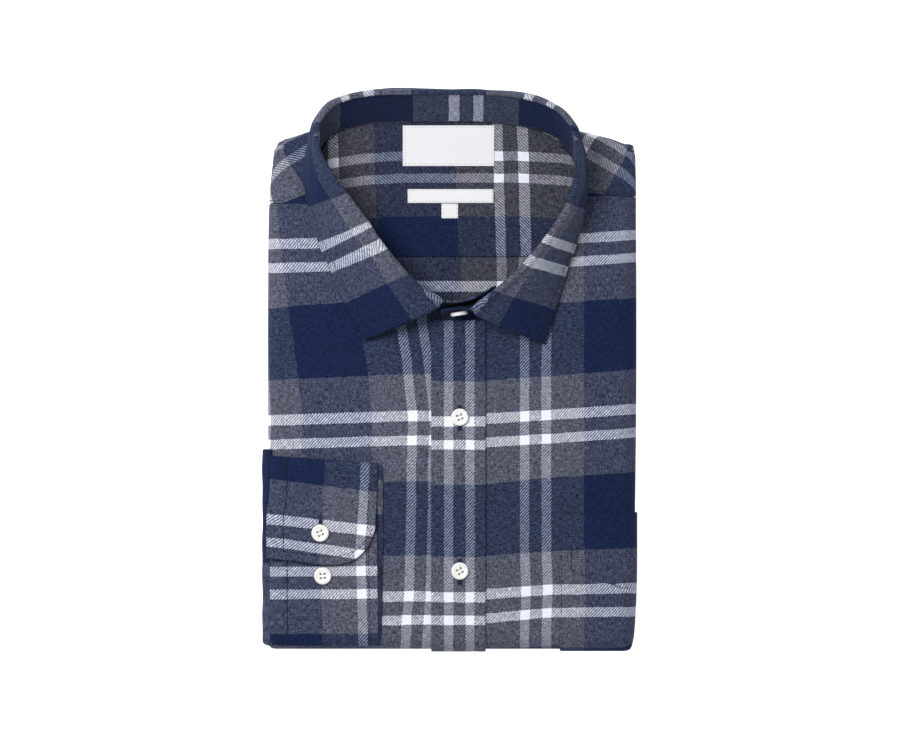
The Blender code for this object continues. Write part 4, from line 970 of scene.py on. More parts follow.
def make_hidden_layers():
    """The pack's points and faces, and its plaid."""
    flat_s, past_s = out_to_lips(CORE_GRID[0])
    flat_t, past_t = (part[:, None] for part in out_to_lips(CORE_GRID[1]))
    t = BOTTOM_EDGE + (top_edge(0.0) - BOTTOM_EDGE) * flat_t + 0 * flat_s
    for _ in range(3):
        s = side_left(t) + (side_right(t) - side_left(t)) * flat_s
        t = BOTTOM_EDGE + (top_edge(s) - BOTTOM_EDGE) * flat_t
    s = s + past_s
    t = t + past_t
    flat_x, flat_y = flat_part(s, t)
    past = np.maximum(np.abs(s - flat_x), np.abs(t - flat_y))
    turning = smooth(*CORE_TURNS, past)
    points = sheet(s, t, -(WALL + CORE_GAP + CORE_GAP * turning))
    x, y = points[..., 0], points[..., 1]
    ratio = neck_ratio(x, y)
    beyond = (ratio - 1.0) * round_neck(x, y)[1]
    covered = 1.0 - smooth(INNER_MARGIN + RESUMES[0], INNER_MARGIN + RESUMES[1], beyond)
    hollow = NECK_HOLLOW * (1.0 - smooth(*HOLLOW_SIDES, ratio))
    under = (WALL + 4 * SEAM) * covered + hollow
    points[..., 2] -= under * (1.0 + NECK_DEEPER * turning) * (1 - smooth(*NECK_FADES, past))
    height, width = s.shape
    border = [(0, j) for j in range(width)]
    border += [(i, width - 1) for i in range(1, height)]
    border += [(height - 1, j) for j in range(width - 2, -1, -1)]
    border += [(i, 0) for i in range(height - 2, 0, -1)]
    rim = tuple(np.array(border).T)
    way = joined(s - flat_x, t - flat_y)[rim]
    way /= (np.abs(way) ** CORNER_POWER).sum(axis=-1, keepdims=True) ** (1 / CORNER_POWER)
    foot = joined(flat_x, flat_y)[rim]
    run = distances(foot, 0)
    turn = run / (run[-1] + np.linalg.norm(foot[0] - foot[-1])) * 2 * math.pi
    rings, chart = [], [joined(s, t).reshape(-1, 2)]
    for k, layer in enumerate(LAYER_EDGES):
        waves = UPPER_WANDER if layer.loose > 0 else LOWER_WANDER
        inset = layer.inset + abs(layer.loose) * (LOOSE_INSET + wandering(waves, turn))
        place = foot + way * (FOLD_REACH - np.maximum(inset, LEAST_INSET))[:, None]
        rings.append(joined(*place.T, layer.z))
        chart.append(joined(s, t)[rim] + way * (LAYER_SPREAD * k))
    # The underside is a sheet of its own, drawn in from the last ring.
    last = rings[-1]
    for share in UNDERSIDE_SHARES:
        rings.append(last * np.array([share, share, 1.0]))
        chart.append(rings[-1][:, :2])
    index = np.arange(height * width).reshape(height, width)
    faces = grid_faces(index)[:, [0, 3, 2, 1]].tolist()
    upper, count = index[rim], height * width
    for ring in rings:
        lower = count + np.arange(len(ring))
        count += len(ring)
        faces += joined(upper, lower, np.roll(lower, -1), np.roll(upper, -1)).tolist()
        upper = lower
    faces += joined(upper, count, np.roll(upper, -1)).tolist()
    points = np.concatenate([points.reshape(-1, 3), *rings, [[0.0, 0.0, 0.0]]])
    at = np.concatenate([*chart, [[0.0, 0.0]]])
    return points, faces, joined(at[:, 0] + CORE_PLAID_AT[0], CORE_PLAID_AT[1] - at[:, 1])


folded_layers = mesh_piece("folded_layers", *make_hidden_layers(), FLANNEL, "flannel", "hidden_layers")
print("folded layers:", len(folded_layers.data.polygons), "faces")

# %% [markdown]
# ## The two fronts
#
# Each front runs from its hidden edge under the placket to a lip behind the side fold, and from the
# bottom fold up to the shoulder seam. Its rows lie straight across the shirt up to the neck, and then
# start at the neck seam, so the grid follows the collar. The rows are dense, because the creases are
# only a few millimetres wide.

# %% The fronts
PLACKET_LEFT = -11.9
PLACKET_RIGHT = 23.6
PLACKET_TOP = 33.4
SHOULDER_SEAM = {"right": (121.2, 109.2), "left": (117.5, 113.6)}
SHOULDER_SEAM_X = 75.0
FRONT_CELL = 1.9
FOLD_CELL = 1.4
NECK_STATIONS = 110  # of the neck seam, from one front's end to the back
FRONTS_LAP = 1.5
FRONT_WIDE = 110.0  # about how wide the flat part is
FRONT_LEAN_FROM = 60.0  # above this the rows start to slope towards the shoulder seam


def shoulder_seam(side, s):
    """t of the seam between a front and the yoke: sloped to where the side turns down."""
    neck_y, side_y = SHOULDER_SEAM[side]
    if side == "right":
        return np.interp(s, [float(side_left(side_y)), -SHOULDER_SEAM_X], [side_y, neck_y])
    return np.interp(s, [SHOULDER_SEAM_X, float(side_right(side_y))], [neck_y, side_y])


def across_to_lip(inner, flat, width, cell, lip, sign=1.0):
    """s of a grid's points: from its inner edge to where the side turns down, and round to the lip."""
    part = shares(width, cell)[:-5]
    part = part / part[-1]
    fold = steps(lip, FOLD_CELL)[4:]
    flat = flat[:, None]
    return np.concatenate([inner + (flat - inner) * part[:-1], flat + sign * fold], axis=1)


def front_grid(side):
    """s and t of a front's points."""
    neck_y = SHOULDER_SEAM[side][0]
    right = side == "right"
    neck = NECK[:NECK_STATIONS][::-1] if right else NECK[-NECK_STATIONS:]
    sign = -1.0 if right else 1.0
    hidden_edge = FRONTS_MEET + sign * FRONTS_LAP
    order = np.argsort(neck[:, 1])
    neck_front_y = neck[:, 1].min()
    low = BOTTOM_EDGE - FRONT_LIP
    rows = low + steps(neck_y - SEAM / 2 - low, FRONT_CELL)
    neck_x = np.interp(rows, neck[order, 1], neck[order, 0])
    inner = np.where(rows < neck_front_y, hidden_edge, neck_x - sign * NECK_TURNING)
    turn = int(np.argmax(rows >= neck_front_y))
    inner[turn] = min(inner[turn], hidden_edge) if right else max(inner[turn], hidden_edge)
    flat = side_left(rows) if right else side_right(rows)
    s = across_to_lip(inner[:, None], flat, FRONT_WIDE, FRONT_CELL, FRONT_LIP, sign)
    lean = smooth(FRONT_LEAN_FROM, neck_y, rows)[:, None]
    return s, rows[:, None] + (shoulder_seam(side, s) - neck_y) * lean


for side, plaid_of in (("right", right_front_plaid), ("left", left_front_plaid)):
    s, t = front_grid(side)
    front = sheet_shell(f"front_{side}", s, t, -WALL, 0.0, plaid_of(s, t))
    declare(front, width=148.0, length=312.0)

# %% [markdown]
# ## Placket and pocket
#
# The placket is a folded band, a little thicker than the front it lies on, with its free edge to the
# wearer's right and a row of topstitching inside its sewn edge. The pocket is a patch cut to match the
# front, so it takes the front's own plaid: only its edges and its shadow give it away. It turns down with
# the front round the side and the bottom.

# %% Placket and pocket
POCKET_LEFT = 71.7
POCKET_TOP = (-93.1, -91.3)
# How far in from its edge a seam lies, and how deep its groove is.
PLACKET_STITCH, PLACKET_GROOVE = 7.2, 0.22
POCKET_STITCH, POCKET_GROOVE = 1.0, 0.18
OVER_FRONT = SEAM * 0.3  # how close a patch lies on the front
POCKET_WIDE, POCKET_CELL = 40.0, 0.9  # about how wide its flat part is, and how fine its grid
POCKET_RISE_FROM = -130  # above this the rows start to slope as the pocket's mouth does


def make_placket():
    low = BOTTOM_EDGE - FRONT_LIP + 1.0
    t = low + steps(PLACKET_TOP - low, spacing=1.6)
    s = PLACKET_LEFT + steps(PLACKET_RIGHT - PLACKET_LEFT, spacing=1.5)
    s, t = np.meshgrid(s, t)
    grooves = [(PLACKET_GROOVE, PLACKET_STITCH, (3,))]
    top = SEAM + STIFF_WALL
    return sheet_shell("placket", s, t, OVER_FRONT, top, placket_plaid(s, t), grooves=grooves)


def make_pocket():
    low = BOTTOM_EDGE - POCKET_LIP
    rows = low + steps(POCKET_TOP[0] - low, POCKET_CELL)
    s = across_to_lip(POCKET_LEFT, side_right(rows), POCKET_WIDE, POCKET_CELL, POCKET_LIP)
    rise = (POCKET_TOP[1] - POCKET_TOP[0]) * smooth(POCKET_RISE_FROM, POCKET_TOP[0], rows)
    t = rows[:, None] + rise[:, None] * (s - POCKET_LEFT) / (s[:, -1:] - POCKET_LEFT)
    grooves = [(POCKET_GROOVE, POCKET_STITCH, (2,))]
    return sheet_shell("pocket", s, t, OVER_FRONT, SEAM + WALL, left_front_plaid(s, t), grooves=grooves)


declare(make_placket(), width=36.0, length=234.0)
declare(make_pocket(), width=62.0, length=98.0)

# %% [markdown]
# ## The outer yoke
#
# The yoke is one piece over both shoulders. Drawn flat it is a U round the neck, so its lines run from
# the neck seam out to the folds, and round the corners of the pack they fan. The plaid of a yoke runs
# with the back, and as the shoulders slope to the front, its stripes slope away from the neck on both
# sides.

# %% The yoke
# How steeply the stripes slope on each shoulder, and places on a white stripe and on a crossing band.
YOKE_SIDES = table(
    "slope stripe_x stripe_y band_x band_y",
    (math.radians(32.0), -104.3, 137.5, -107.3, 140.8),
    (math.radians(-30.0), 105.0, 133.6, 89.4, 149.2),
)
SECOND_WHITE = WHITE_WARP + GAP_WARP + WHITE_WARP / 2
EARLY_TURN = 9.0  # cloth at the start of the top fold that lies closer than it is long
SIDE_TAKEN = 1.8  # cloth that the right shoulder's edge takes up as it turns down
SIDE_TAKEN_FROM = (98.0, 114.0)
YOKE_MIDDLE = (-70.0, 70.0)  # between these the right shoulder's plaid gives way to the left's
YOKE_CELL = 2.0
YOKE_CORNERS_Y = 150
YOKE_FAN, YOKE_ACROSS_TOP = 9, 118  # lines at each corner and between the corners
OUTLINE_STEP = 0.35  # added to each step round the outline, so the corners take their share of the neck


def shoulder_plaid(side, s, t):
    sine, cosine = math.sin(side.slope), math.cos(side.slope)
    u = SECOND_WHITE + (s - side.stripe_x) * sine - (t - side.stripe_y) * cosine
    return u, (s - side.band_x) * cosine + (t - side.band_y) * sine


def yoke_plaid(s, t):
    """The stripes slope down from the neck to both sides, and run level at the back."""
    past = np.maximum(t - top_edge(s), 0.0)
    drawn = FOLD_REACH * np.sin(np.minimum(past, EARLY_TURN) / FOLD_QUARTER * math.pi / 2)
    t = t - past + drawn + np.maximum(past - EARLY_TURN, 0.0)
    (right_u, right_w), (left_u, left_w) = (shoulder_plaid(side, s, t) for side in YOKE_SIDES)
    right_w = NAVY_FROM_WEFT + NAVY_WEFT - right_w
    right_w = right_w - SIDE_TAKEN * smooth(*SIDE_TAKEN_FROM, right_w)
    left_w = WHITE_WEFT / 2 - left_w
    share = smooth(*YOKE_MIDDLE, s)
    return right_u * (1 - share) + left_u * share, right_w * (1 - share) + left_w * share


def yoke_outline():
    """Places round the yoke's outer line, each with the way that its line leaves by: x, y, way x, way y."""
    sides = (side_left, side_right)
    corners = [(float(side(YOKE_CORNERS_Y)), float(top_edge(side(YOKE_CORNERS_Y)))) for side in sides]
    rising = []
    for side, name, (_, corner_y), way in zip(sides, ("right", "left"), corners, (-1.0, 1.0)):
        low = SHOULDER_SEAM[name][1] + SEAM / 2
        rows = low + steps(corner_y - low, YOKE_CELL)[:-5]
        rising.append([(float(side(y)), y, way, 0.0) for y in rows])
    fan = np.linspace(0.0, 1.0, YOKE_FAN)
    stations = rising[0]
    stations += [(*corners[0], -1.0, part) for part in fan]
    stations += [(*corners[0], part - 1.0, 1.0) for part in fan[1:]]
    for x in np.linspace(corners[0][0], corners[1][0], YOKE_ACROSS_TOP)[1:-1]:
        stations.append((x, float(top_edge(x)), 0.0, 1.0))
    stations += [(*corners[1], part, 1.0) for part in fan]
    stations += [(*corners[1], 1.0, 1.0 - part) for part in fan[1:]]
    return np.array(stations + rising[1][::-1])


def neck_starts(flat):
    """A place on the neck seam for each place round the outline."""
    right_from = int(np.argmax(NECK[:, 1] >= SHOULDER_SEAM["right"][0] + SEAM / 2))
    left_to = len(NECK) - 1 - int(np.argmax((NECK[:, 1] >= SHOULDER_SEAM["left"][0] + SEAM / 2)[::-1]))
    leg = np.linalg.norm(np.diff(flat, axis=0), axis=1) + OUTLINE_STEP
    run = np.concatenate([[0.0], np.cumsum(leg)])
    picks = np.interp(run / run[-1], [0.0, 1.0], [right_from, left_to])
    neck = joined(*(np.interp(picks, np.arange(len(NECK)), line) for line in NECK.T))
    neck = neck + unit(np.array(NECK_CENTRE) - neck) * NECK_TURNING
    neck[0, 1] = shoulder_seam("right", neck[0, 0]) + SEAM / 2
    neck[-1, 1] = shoulder_seam("left", neck[-1, 0]) + SEAM / 2
    return neck


def yoke_grid():
    """s and t of the yoke's points: one line for each place round the outline."""
    stations = yoke_outline()
    share = shares(FRONT_LIP, spacing=1.1)
    lines = []
    for (x, y, way_x, way_y), (start_x, start_y) in zip(stations, neck_starts(stations[:, :2])):
        begin = np.array([start_x, float(on_sheet(start_x, start_y)[1])])
        past = max(0.0, float(begin[1] - top_edge(start_x)))
        leave, way = np.array([x, y]), np.array([way_x, way_y])
        if past > 0.0 and way_y > 0:
            foot = np.array([start_x, float(top_edge(start_x))])
            step = past + (FRONT_LIP - past) * share
            part = ((step - past) / (FRONT_LIP - past))[:, None]
            lines.append(foot + (leave - foot) * part + way * step[:, None])
            continue
        reach = float(np.linalg.norm(leave - begin))
        at = (reach + FRONT_LIP) * share
        on_flat = np.clip(at / max(reach, 1e-6), 0.0, 1.0)[:, None]
        lines.append(begin + (leave - begin) * on_flat + way * np.maximum(at - reach, 0.0)[:, None])
    lines = np.array(lines)
    return lines[..., 0], lines[..., 1]


s, t = yoke_grid()
yoke = sheet_shell("yoke_outer", s, t, -WALL, 0.0, yoke_plaid(s, t))
declare(yoke, width=285.0, length=65.0)

# %% [markdown]
# ## Inside the neck
#
# The inner yoke and a strip of the back show inside the neck, and sink into it. They show the cloth's
# wrong side, where the twill leans the other way, and the inner yoke is turned a quarter, so the weft's
# stripes run up it. Turning the plaid on a piece is only swapping what feeds u and w, and counting one
# of them backwards turns the twill. Both wear darker copies of the flannel, painted shade for the hollow
# of the neck.

# %% Inner yoke and back
YOKE_UP = table(
    "at plaid",
    (74.4, 68.9), (101.1, 43.1), (123.2, 19.7), (129, 13.7), (137.2, 6), (143.1, 0), (166.5, -23.4),
)
YOKE_ACROSS = table(
    "at plaid",
    (-94.6, -118.3), (-77.7, -101.4), (-71.2, -94.9), (-47.8, -71.5), (4.9, -23.4), (29.6, 0), (36.1, 6.5),
    (45.8, 15.8), (52.3, 22.3), (86, 45.2),
)
YOKE_LEAN, YOKE_LEAN_FROM = 0.03, 108.0  # how the stripes that run up the inner yoke lean
YOKE_DIP = table(
    "at plaid",
    (-84, -6), (-74, -4.4), (-56, -1.6), (-32, 0), (46, 0), (72, -1.6), (84, -3),
)
BACK_WHITE_X, BACK_WHITE_Y = 31.2, 58.8
# Painted shade: low in the neck the back's plaid stays in this grey gap, so the next white row, which lies
# deep in shade under the collar front, shows grey.
BACK_ROW_HELD_FOR_SHADE = 12.0  # in the grey gap below the white row
MARGIN_Y = (118, 144)  # between these the pieces stop reaching out under the fronts
BACK_CLEAR = NECK_TURNING + 2.2 * SEAM + 0.3  # how far they stay inside the back neck
SEAM_ENDS = 0.35  # how much longer the straight seam is at each end


def inner_yoke_plaid(x, y):
    dip = np.interp(x, column(YOKE_DIP, "at"), column(YOKE_DIP, "plaid"))
    down = read(YOKE_UP, "at plaid", y - dip, along)
    across = read(YOKE_ACROSS, "at plaid", x + YOKE_LEAN * (y - YOKE_LEAN_FROM), along)
    return down, PAIR_WEFT - across


# Painted shade: the weft is held grey low in the neck, where it lies deep in shade.
def back_plaid(x, y):
    return PAIR_WARP - (x - BACK_WHITE_X), np.minimum(BACK_WHITE_Y - y, BACK_ROW_HELD_FOR_SHADE)


def inner_margin(points):
    """Moves neck points out under the fronts, but not past the back neck."""
    margin = INNER_MARGIN - (INNER_MARGIN + BACK_CLEAR) * smooth(*MARGIN_Y, points[:, 1])
    return points + unit(points - np.array(NECK_CENTRE)) * margin[:, None]


def neck_piece(edge, seam_y, stations, share):
    """Points in plan of a piece between a straight seam and the curved neck."""
    run = distances(edge, 0)
    at = np.linspace(0, run[-1], stations)
    rim = joined(*(np.interp(at, run, line) for line in edge.T))
    rim[0, 1] = rim[-1, 1] = seam_y
    seam = joined(np.linspace(rim[0, 0], rim[-1, 0], stations), seam_y)
    for end in (0, -1):
        seam[end, 0] -= SEAM_ENDS * np.sign(rim[end, 0])
    share = share[None, :, None]
    return seam[:, None, :] * (1 - share) + rim[:, None, :] * share


border = inner_margin(NECK_FINE)
above = border[:, 1] >= YOKE_SEAM_Y
first = int(np.argmax(above))
last = len(border) - 1 - int(np.argmax(above[::-1]))
yoke_rim = border[first : last + 1]
back_rim = np.vstack([border[last:], border[: first + 1]])
# Each piece wears a darker copy of the flannel: painted shade for the hollow of the neck.
NECK_PIECES = table(
    "node rim seam_y stations deep cell plaid_of side width length",
    ("yoke_inner", yoke_rim, YOKE_SEAM_Y + SEAM / 2, 150, 90, 1.8, inner_yoke_plaid, FLANNEL_YOKE_PAINTED_SHADE, 176, 92),
    ("back", back_rim, YOKE_SEAM_Y - SEAM / 2, 90, 40, 1.6, back_plaid, FLANNEL_INSIDE_PAINTED_SHADE, 126, 50),
)
for kind in NECK_PIECES:
    plan = neck_piece(kind.rim, kind.seam_y, kind.stations, shares(kind.deep, kind.cell))
    x, y = plan[..., 0], plan[..., 1]
    outer = joined(x, y, inner_height(x, y))
    inner = outer - np.array([0.0, 0.0, WALL])
    piece = shell(kind.node, outer, inner, kind.plaid_of(x, y), kind.side)
    declare(piece, kind.width, kind.length)

# %% [markdown]
# ## The collar stand
#
# The stand is a stiff band that rises from the neck seam and leans back. In front its two ends lap, and
# the upper one carries the collar button. The band is a ruled surface from its foot to its top, swept
# round the neck.

# %% The stand
STAND_STATIONS = 190
STAND_LAP_STATIONS = 16
STAND_PAIR_X = 10.7  # where the middle of a white pair crosses the back of the stand
STAND_FROM_NAVY = 6.0  # how far into the navy band the foot of the stand lies
STAND_EASE, STAND_EASE_FROM = 40.0, (90.0, 215.0)  # the plaid that is eased in before the upper end
FOOT_REACH = (-1.1, 0, 1.1)  # the foot clears the fronts this far to every side
OVER_CURL_SHARE = 0.3  # the share of the over end in which it comes to lean back


def stand_path():
    """Foot and top of the stand at each station, with the two ends that lap in front."""
    rows = collar_rows(STAND_STATIONS)
    top = in_plan(rows, "roll") + outward(rows) * STAND_IN_ROLL
    foot = top - joined(0.0, rows["lean"])
    top_z = rows["roll_z"] - LEAF_ROLL_RISE - 2 * SEAM
    inward = LAP_STEP * (1.0 - smooth(0, LAP_SHARE, np.linspace(0.0, 1.0, len(top))))
    under = np.linspace(1.0, 0.0, STAND_LAP_STATIONS, endpoint=False)[:, None]
    over = np.linspace(0.0, 1.0, STAND_LAP_STATIONS + 1)[1:, None]
    lines = []
    for line in (top, foot):
        line[:, 1] += inward
        under_end = line[0] + under * np.array([[UNDER_LAP, UNDER_RISE]])
        under_end[:, 1] += UNDER_CURL * under[:, 0] ** 2
        over_end = line[-1] + over * np.array([[-OVER_LAP, OVER_RISE]])
        lines.append(np.vstack([under_end, line, over_end]))
    lines[0][-STAND_LAP_STATIONS:, 1] += OVER_CURL * smooth(0.0, OVER_CURL_SHARE, over[:, 0])
    heights = [top_z[0] - LAP_DROP * under[:, 0], top_z, top_z[-1] - LAP_DROP * over[:, 0]]
    return *lines, np.concatenate(heights)


def wall_about(middle, thickness):
    """Both faces of a wall about a grid of middle points."""
    normal = unit(np.cross(np.gradient(middle, axis=0), np.gradient(middle, axis=1)))
    return middle + normal * thickness / 2, middle - normal * thickness / 2


def stand_middle():
    top, foot, top_z = stand_path()
    beside = [plan_height(foot[:, 0] + x, foot[:, 1] + y) for x in FOOT_REACH for y in FOOT_REACH]
    share = shares(length=30.0, spacing=1.6)[None, :, None]
    low = joined(*foot.T, np.max(beside, axis=0) + OVER_FRONT)[:, None, :]
    high = joined(*top.T, top_z)[:, None, :]
    return low * (1 - share) + high * share


STAND = stand_middle()
stand_outer, stand_inner = wall_about(STAND, STIFF_WALL)
stand_run = distances(STAND, 0)[:, -1]
at_back = int(np.argmax(STAND[:, -1, 1]))
stand_along = stand_run - stand_run[at_back] + STAND[at_back, -1, 0] - STAND_PAIR_X
stand_along = stand_along - STAND_EASE * smooth(*STAND_EASE_FROM, stand_along)
stand_u = NAVY_FROM_WARP + STAND_FROM_NAVY + distances(STAND, 1)
stand = shell("collar_stand", stand_outer, stand_inner, (stand_u, stand_along[:, None] + PAIR_WEFT / 2))
declare(stand, width=stand_run[-1], length=31.0)

# %% [markdown]
# ## The collar leaf
#
# The leaf goes up from the stand, over a rolled top and down to its outer edge, where it ends in two
# points. At each section its profile is a few points from the roll's sizes and a slight swell, and a
# smooth curve through them gives the fine shell. The plaid is counted from the outer edge inwards, where
# the navy band runs, and along the edge from the middle of the back.

# %% The leaf
LEAF_STATIONS = 230
LEAF_FALL_STEPS = 4
LEAF_NAVY_SHOWN = 36.0  # width of the navy band that is left on the leaf's outer edge
LEAF_DRAWN = (4.5, 8.0)  # how much further the plaid has come at the roll of each front end
LEAF_DRAWN_ACROSS = (28.0, 54.0)
LEAF_DRAWN_FROM = 0.19
LEAF_INWARD_ACROSS = (4.0, 16.0)
LEAF_OVER_WALLS = 1.3  # how high its edge's middle lies over the fronts, in walls
ROLL_START_SHARE = 0.4
# The roll's profile: shares of the roll's width, and heights from its top.
LEAF_ROLL = ((0.0, -LEAF_ROLL_RISE), (0.0, -1.9), (0.22, -0.85), (0.55, -0.55), (0.85, -1.0), (1.0, -2.4))
LEAF_STITCH, LEAF_GROOVE = 5.6, 0.2
LEAF_WAVES = table("waves phase size", (9, 0.7, 0.35), (17, 2.9, 0.22), (31, 1.1, 0.12))
# Where the plaid lies at places along the leaf: how far the navy band has moved towards the outer edge,
# and how far the bands that cross the leaf have moved along it.
LEAF_PLAID = table(
    "along inward onward",
    (-234, -2.5, 0), (-219, -1.5, 0), (-203, -0.8, 0), (-190, -0.6, 0), (-177, 2.5, 0), (-156, 6.5, 0),
    (-128, 9.5, 0), (-113, 8, 0.8), (-100, 4, 1.5), (-68, 6, 2.8), (-53, 5, 2.3), (-25, 5, 2.1),
    (0, 5, 0.5), (25, 5, -0.5), (53, 5, -3.6), (67, 6, -5.4), (99, 6, -2.5), (112, 12, -1.2), (125, 18, 0),
    (137, 14, 0), (149, 12.5, 0), (165, 9.5, 0), (185, 5.5, 0), (203, 1.5, 0), (219, -1, 0), (234, -2, 0),
)


def leaf_middle():
    """The leaf's middle: up from the stand, over the roll and down to the outer edge."""
    rows = collar_rows(LEAF_STATIONS)
    run = outward(rows)
    roll, edge = in_plan(rows, "roll"), in_plan(rows, "edge")
    spread = np.linalg.norm(edge - roll, axis=-1) - STIFF_WALL / 2
    resting = plan_height(edge[:, 0], edge[:, 1]) + SEAM + LEAF_OVER_WALLS * STIFF_WALL
    edge_z = np.maximum(rows["edge_z"], resting)
    width = np.minimum(LEAF_ROLL_WIDTH, spread * ROLL_SHARE)
    start = np.minimum(STAND_IN_ROLL, width * ROLL_START_SHARE)
    profile = [joined(start + share * (width - start), height) for share, height in LEAF_ROLL]
    fall_from = profile[-1]
    drop = joined(spread, edge_z - rows["roll_z"]) - fall_from
    square = unit(joined(-drop[:, 1], drop[:, 0]))
    swell = LEAF_BULGE * np.minimum(1.0, width / LEAF_ROLL_WIDTH)
    wave = wandering(LEAF_WAVES, np.linspace(0.0, 2 * math.pi, LEAF_STATIONS))
    for step in range(1, LEAF_FALL_STEPS + 1):
        part = step / LEAF_FALL_STEPS
        out = swell * math.sin(math.pi * part) + wave * math.sin(math.pi * part) ** 2
        profile.append(fall_from + drop * part + square * out[:, None])
    share = np.linspace(0.0, 1.0, LEAF_STATIONS)
    bow = LEAF_BOW * (1.0 - smooth(0.0, LEAF_BOW_REACH, np.minimum(share, share[::-1])))
    ahead = joined(run[:, 1], -run[:, 0]) * np.sign(run[:, :1])
    lines = []
    for i, line in enumerate(np.array(profile).transpose(1, 0, 2)):
        length = distances(line, 0)
        fall = length[-LEAF_FALL_STEPS - 1]
        at = length[-1] * shares(length=60.0, spacing=1.2)
        out, up = through(length, line, at).T
        part = np.clip((at - fall) / (length[-1] - fall), 0.0, 1.0)
        forward = bow[i] * np.sin(math.pi * part**LEAF_BOW_POWER)
        plan = roll[i] + run[i] * out[:, None] + ahead[i] * forward[:, None]
        lines.append(joined(*plan.T, rows["roll_z"][i] + up))
    return np.array(lines), rows["along"]


def leaf_plaid_of(middle, along_edge):
    """The leaf's plaid, counted from its outer edge and along it."""
    edge_way = unit(np.gradient(middle[:, -1], axis=0))
    lean = ((middle - middle[:, -1:]) * edge_way[:, None, :]).sum(axis=-1)
    from_edge = np.sqrt(np.maximum(edge_distances(middle)[3] ** 2 - lean**2, 0.0))
    share = np.linspace(0.0, 1.0, LEAF_STATIONS)
    near_left, near_right = (smooth(LEAF_DRAWN_FROM, 0.0, part)[:, None] for part in (share, 1.0 - share))
    drawn = LEAF_DRAWN[0] * near_left + LEAF_DRAWN[1] * near_right
    inward, onward = (read(LEAF_PLAID, f"along {name}", along_edge)[:, None] for name in ("inward", "onward"))
    from_edge = (
        from_edge
        + drawn * smooth(*LEAF_DRAWN_ACROSS, from_edge)
        + inward * smooth(*LEAF_INWARD_ACROSS, from_edge)
    )
    u = NAVY_FROM_WARP + NAVY_WARP - LEAF_NAVY_SHOWN + from_edge
    return u, NAVY_FROM_WEFT + NAVY_WEFT / 2 - along_edge[:, None] - onward - lean


LEAF, leaf_along = leaf_middle()
leaf_faces = wall_about(LEAF, STIFF_WALL)
leaf_grooves = [(LEAF_GROOVE, LEAF_STITCH, (0, 1, 3))]
leaf = shell("collar_leaf", *leaf_faces, leaf_plaid_of(LEAF, leaf_along), grooves=leaf_grooves)
declare(leaf, width=470.0, length=78.0)

# %% [markdown]
# ## Sleeve and cuff
#
# The right sleeve comes from behind, round the side, and its cuff lies on the front. The cuff is one long
# wall: from its lapped end over the upper fold, down behind, round the lower fold and back up beneath
# itself. So the maker walks along that path, with a table of how high the wall lies over the front.

# %% Sleeve and cuff
CUFF_SEAM = -116.9
SLEEVE_TOP = -50.4
SLEEVE_BOTTOM = -181.0  # the soft cloth hangs a little past the lower fold
SLEEVE_PUFF = 1.3
SLEEVE_GREY_AT = -124.0  # below this the sleeve shows a grey weft band, above it the navy one
SLEEVE_U = NAVY_FROM_WARP + 24.0  # where the plaid lies at the cuff's seam
SLEEVE_STRETCH = (0.4, 0.6)  # how far the plaid runs for 1 mm below and above that place
PUFF_RISES, PUFF_FALLS = (6, 16), (20, 26)  # past the side fold
CRUMPLE, CRUMPLE_FROM, CRUMPLE_WAVES = 0.30, (3, 10), (5.3, 13.0)
CUFF_END = table(
    "x y",
    (-117, -121.6), (-100, -123.3), (-84, -125.6), (-70.5, -125.2), (-62.5, -122.6), (-56, -117.5),
    (-51, -110), (-48, -101.5),
)
# t along the cloth, how high its middle lies over the front, where its free edge lies, how far down the
# plaid the turn is at the sleeve and at the free edge, and where its white warp stripe starts.
CUFF_PATH = table(
    "t lift edge w_sleeve w_edge white",
    (-97, 6.2, -48, 4.5, -3.2, -59.6),
    (-91, 5, -47.6, -1.6, -9.7, -59.2),
    (-85, 3.6, -47.3, -7.8, -16.2, -58.9),
    (-74, 2.85, -46.8, -19.1, -28, -58.3),
    (-62, 2.85, -46.2, -31.5, -39, -57.6),
    (-59.4, 2.6, -46, -34, -41, -57.5),
    (-58.6, 1.95, -45.2, -35, -41.5, -57.4),
    (-59.4, 1.3, -44, -36, -42, -57.2),
    (-62, 1.05, -43.4, -32, -34, -56.2),
    (-76, 1.05, -43.2, -20, -20, -56),
    (-96, 1.05, -43.2, -27, -27, -56),
    (-106, 1.05, -43.2, -40, -40, -57.8),
    (-114, 1.05, -43.3, -48, -48, -56.1),
    (-122, 1.05, -43.4, -53, -53, -57.8),
    (-136, 1.05, -43.6, -56, -56, -56.2),
    (-156, 1.05, -43.8, -59, -59, -56.4),
    (-170, 1.05, -44.4, -61, -61, -58.5),
    (-175, 1.05, -44.8, -62, -62, -59),
    (-177.4, 1.3, -45, -62.6, -62.6, -59.1),
    (-178, 1.95, -45.2, -63.4, -63.4, -59.1),
    (-177.4, 2.6, -45.6, -64.2, -64.2, -59.1),
    (-175, 2.85, -46, -66.6, -66.6, -59.2),
    (-170, 2.85, -46.2, -71.9, -71.8, -59.3),
    (-156, 2.85, -46.4, -86.6, -86.1, -59.7),
    (-140, 2.85, -46.6, -103.1, -102.6, -60.2),
    (-124, 2.85, -46.8, -120.4, -119.6, -60.6),
    (-112, 2.85, -46.9, -132.4, -131.4, -60.8),
    (-103, 2.85, -47, -141.4, -140.4, -60.9),
)
CUFF_SLOPE = (3.4, -1.5)
CUFF_SLOPE_FROM = (-125.0, -75.0)
CUFF_STRETCH = (1.08, 0.95)  # the plaid on the lapped end, at the sleeve and at the free edge
LAP_DRAWN = 1.9  # how much the white stripe has leant at the lapped end
CUFF_END_ROWS = 16
CUFF_WIDEST_X = -48.0
CUFF_CELL, CUFF_END_LONG, TURN_STEPS = 1.5, 24.0, 6
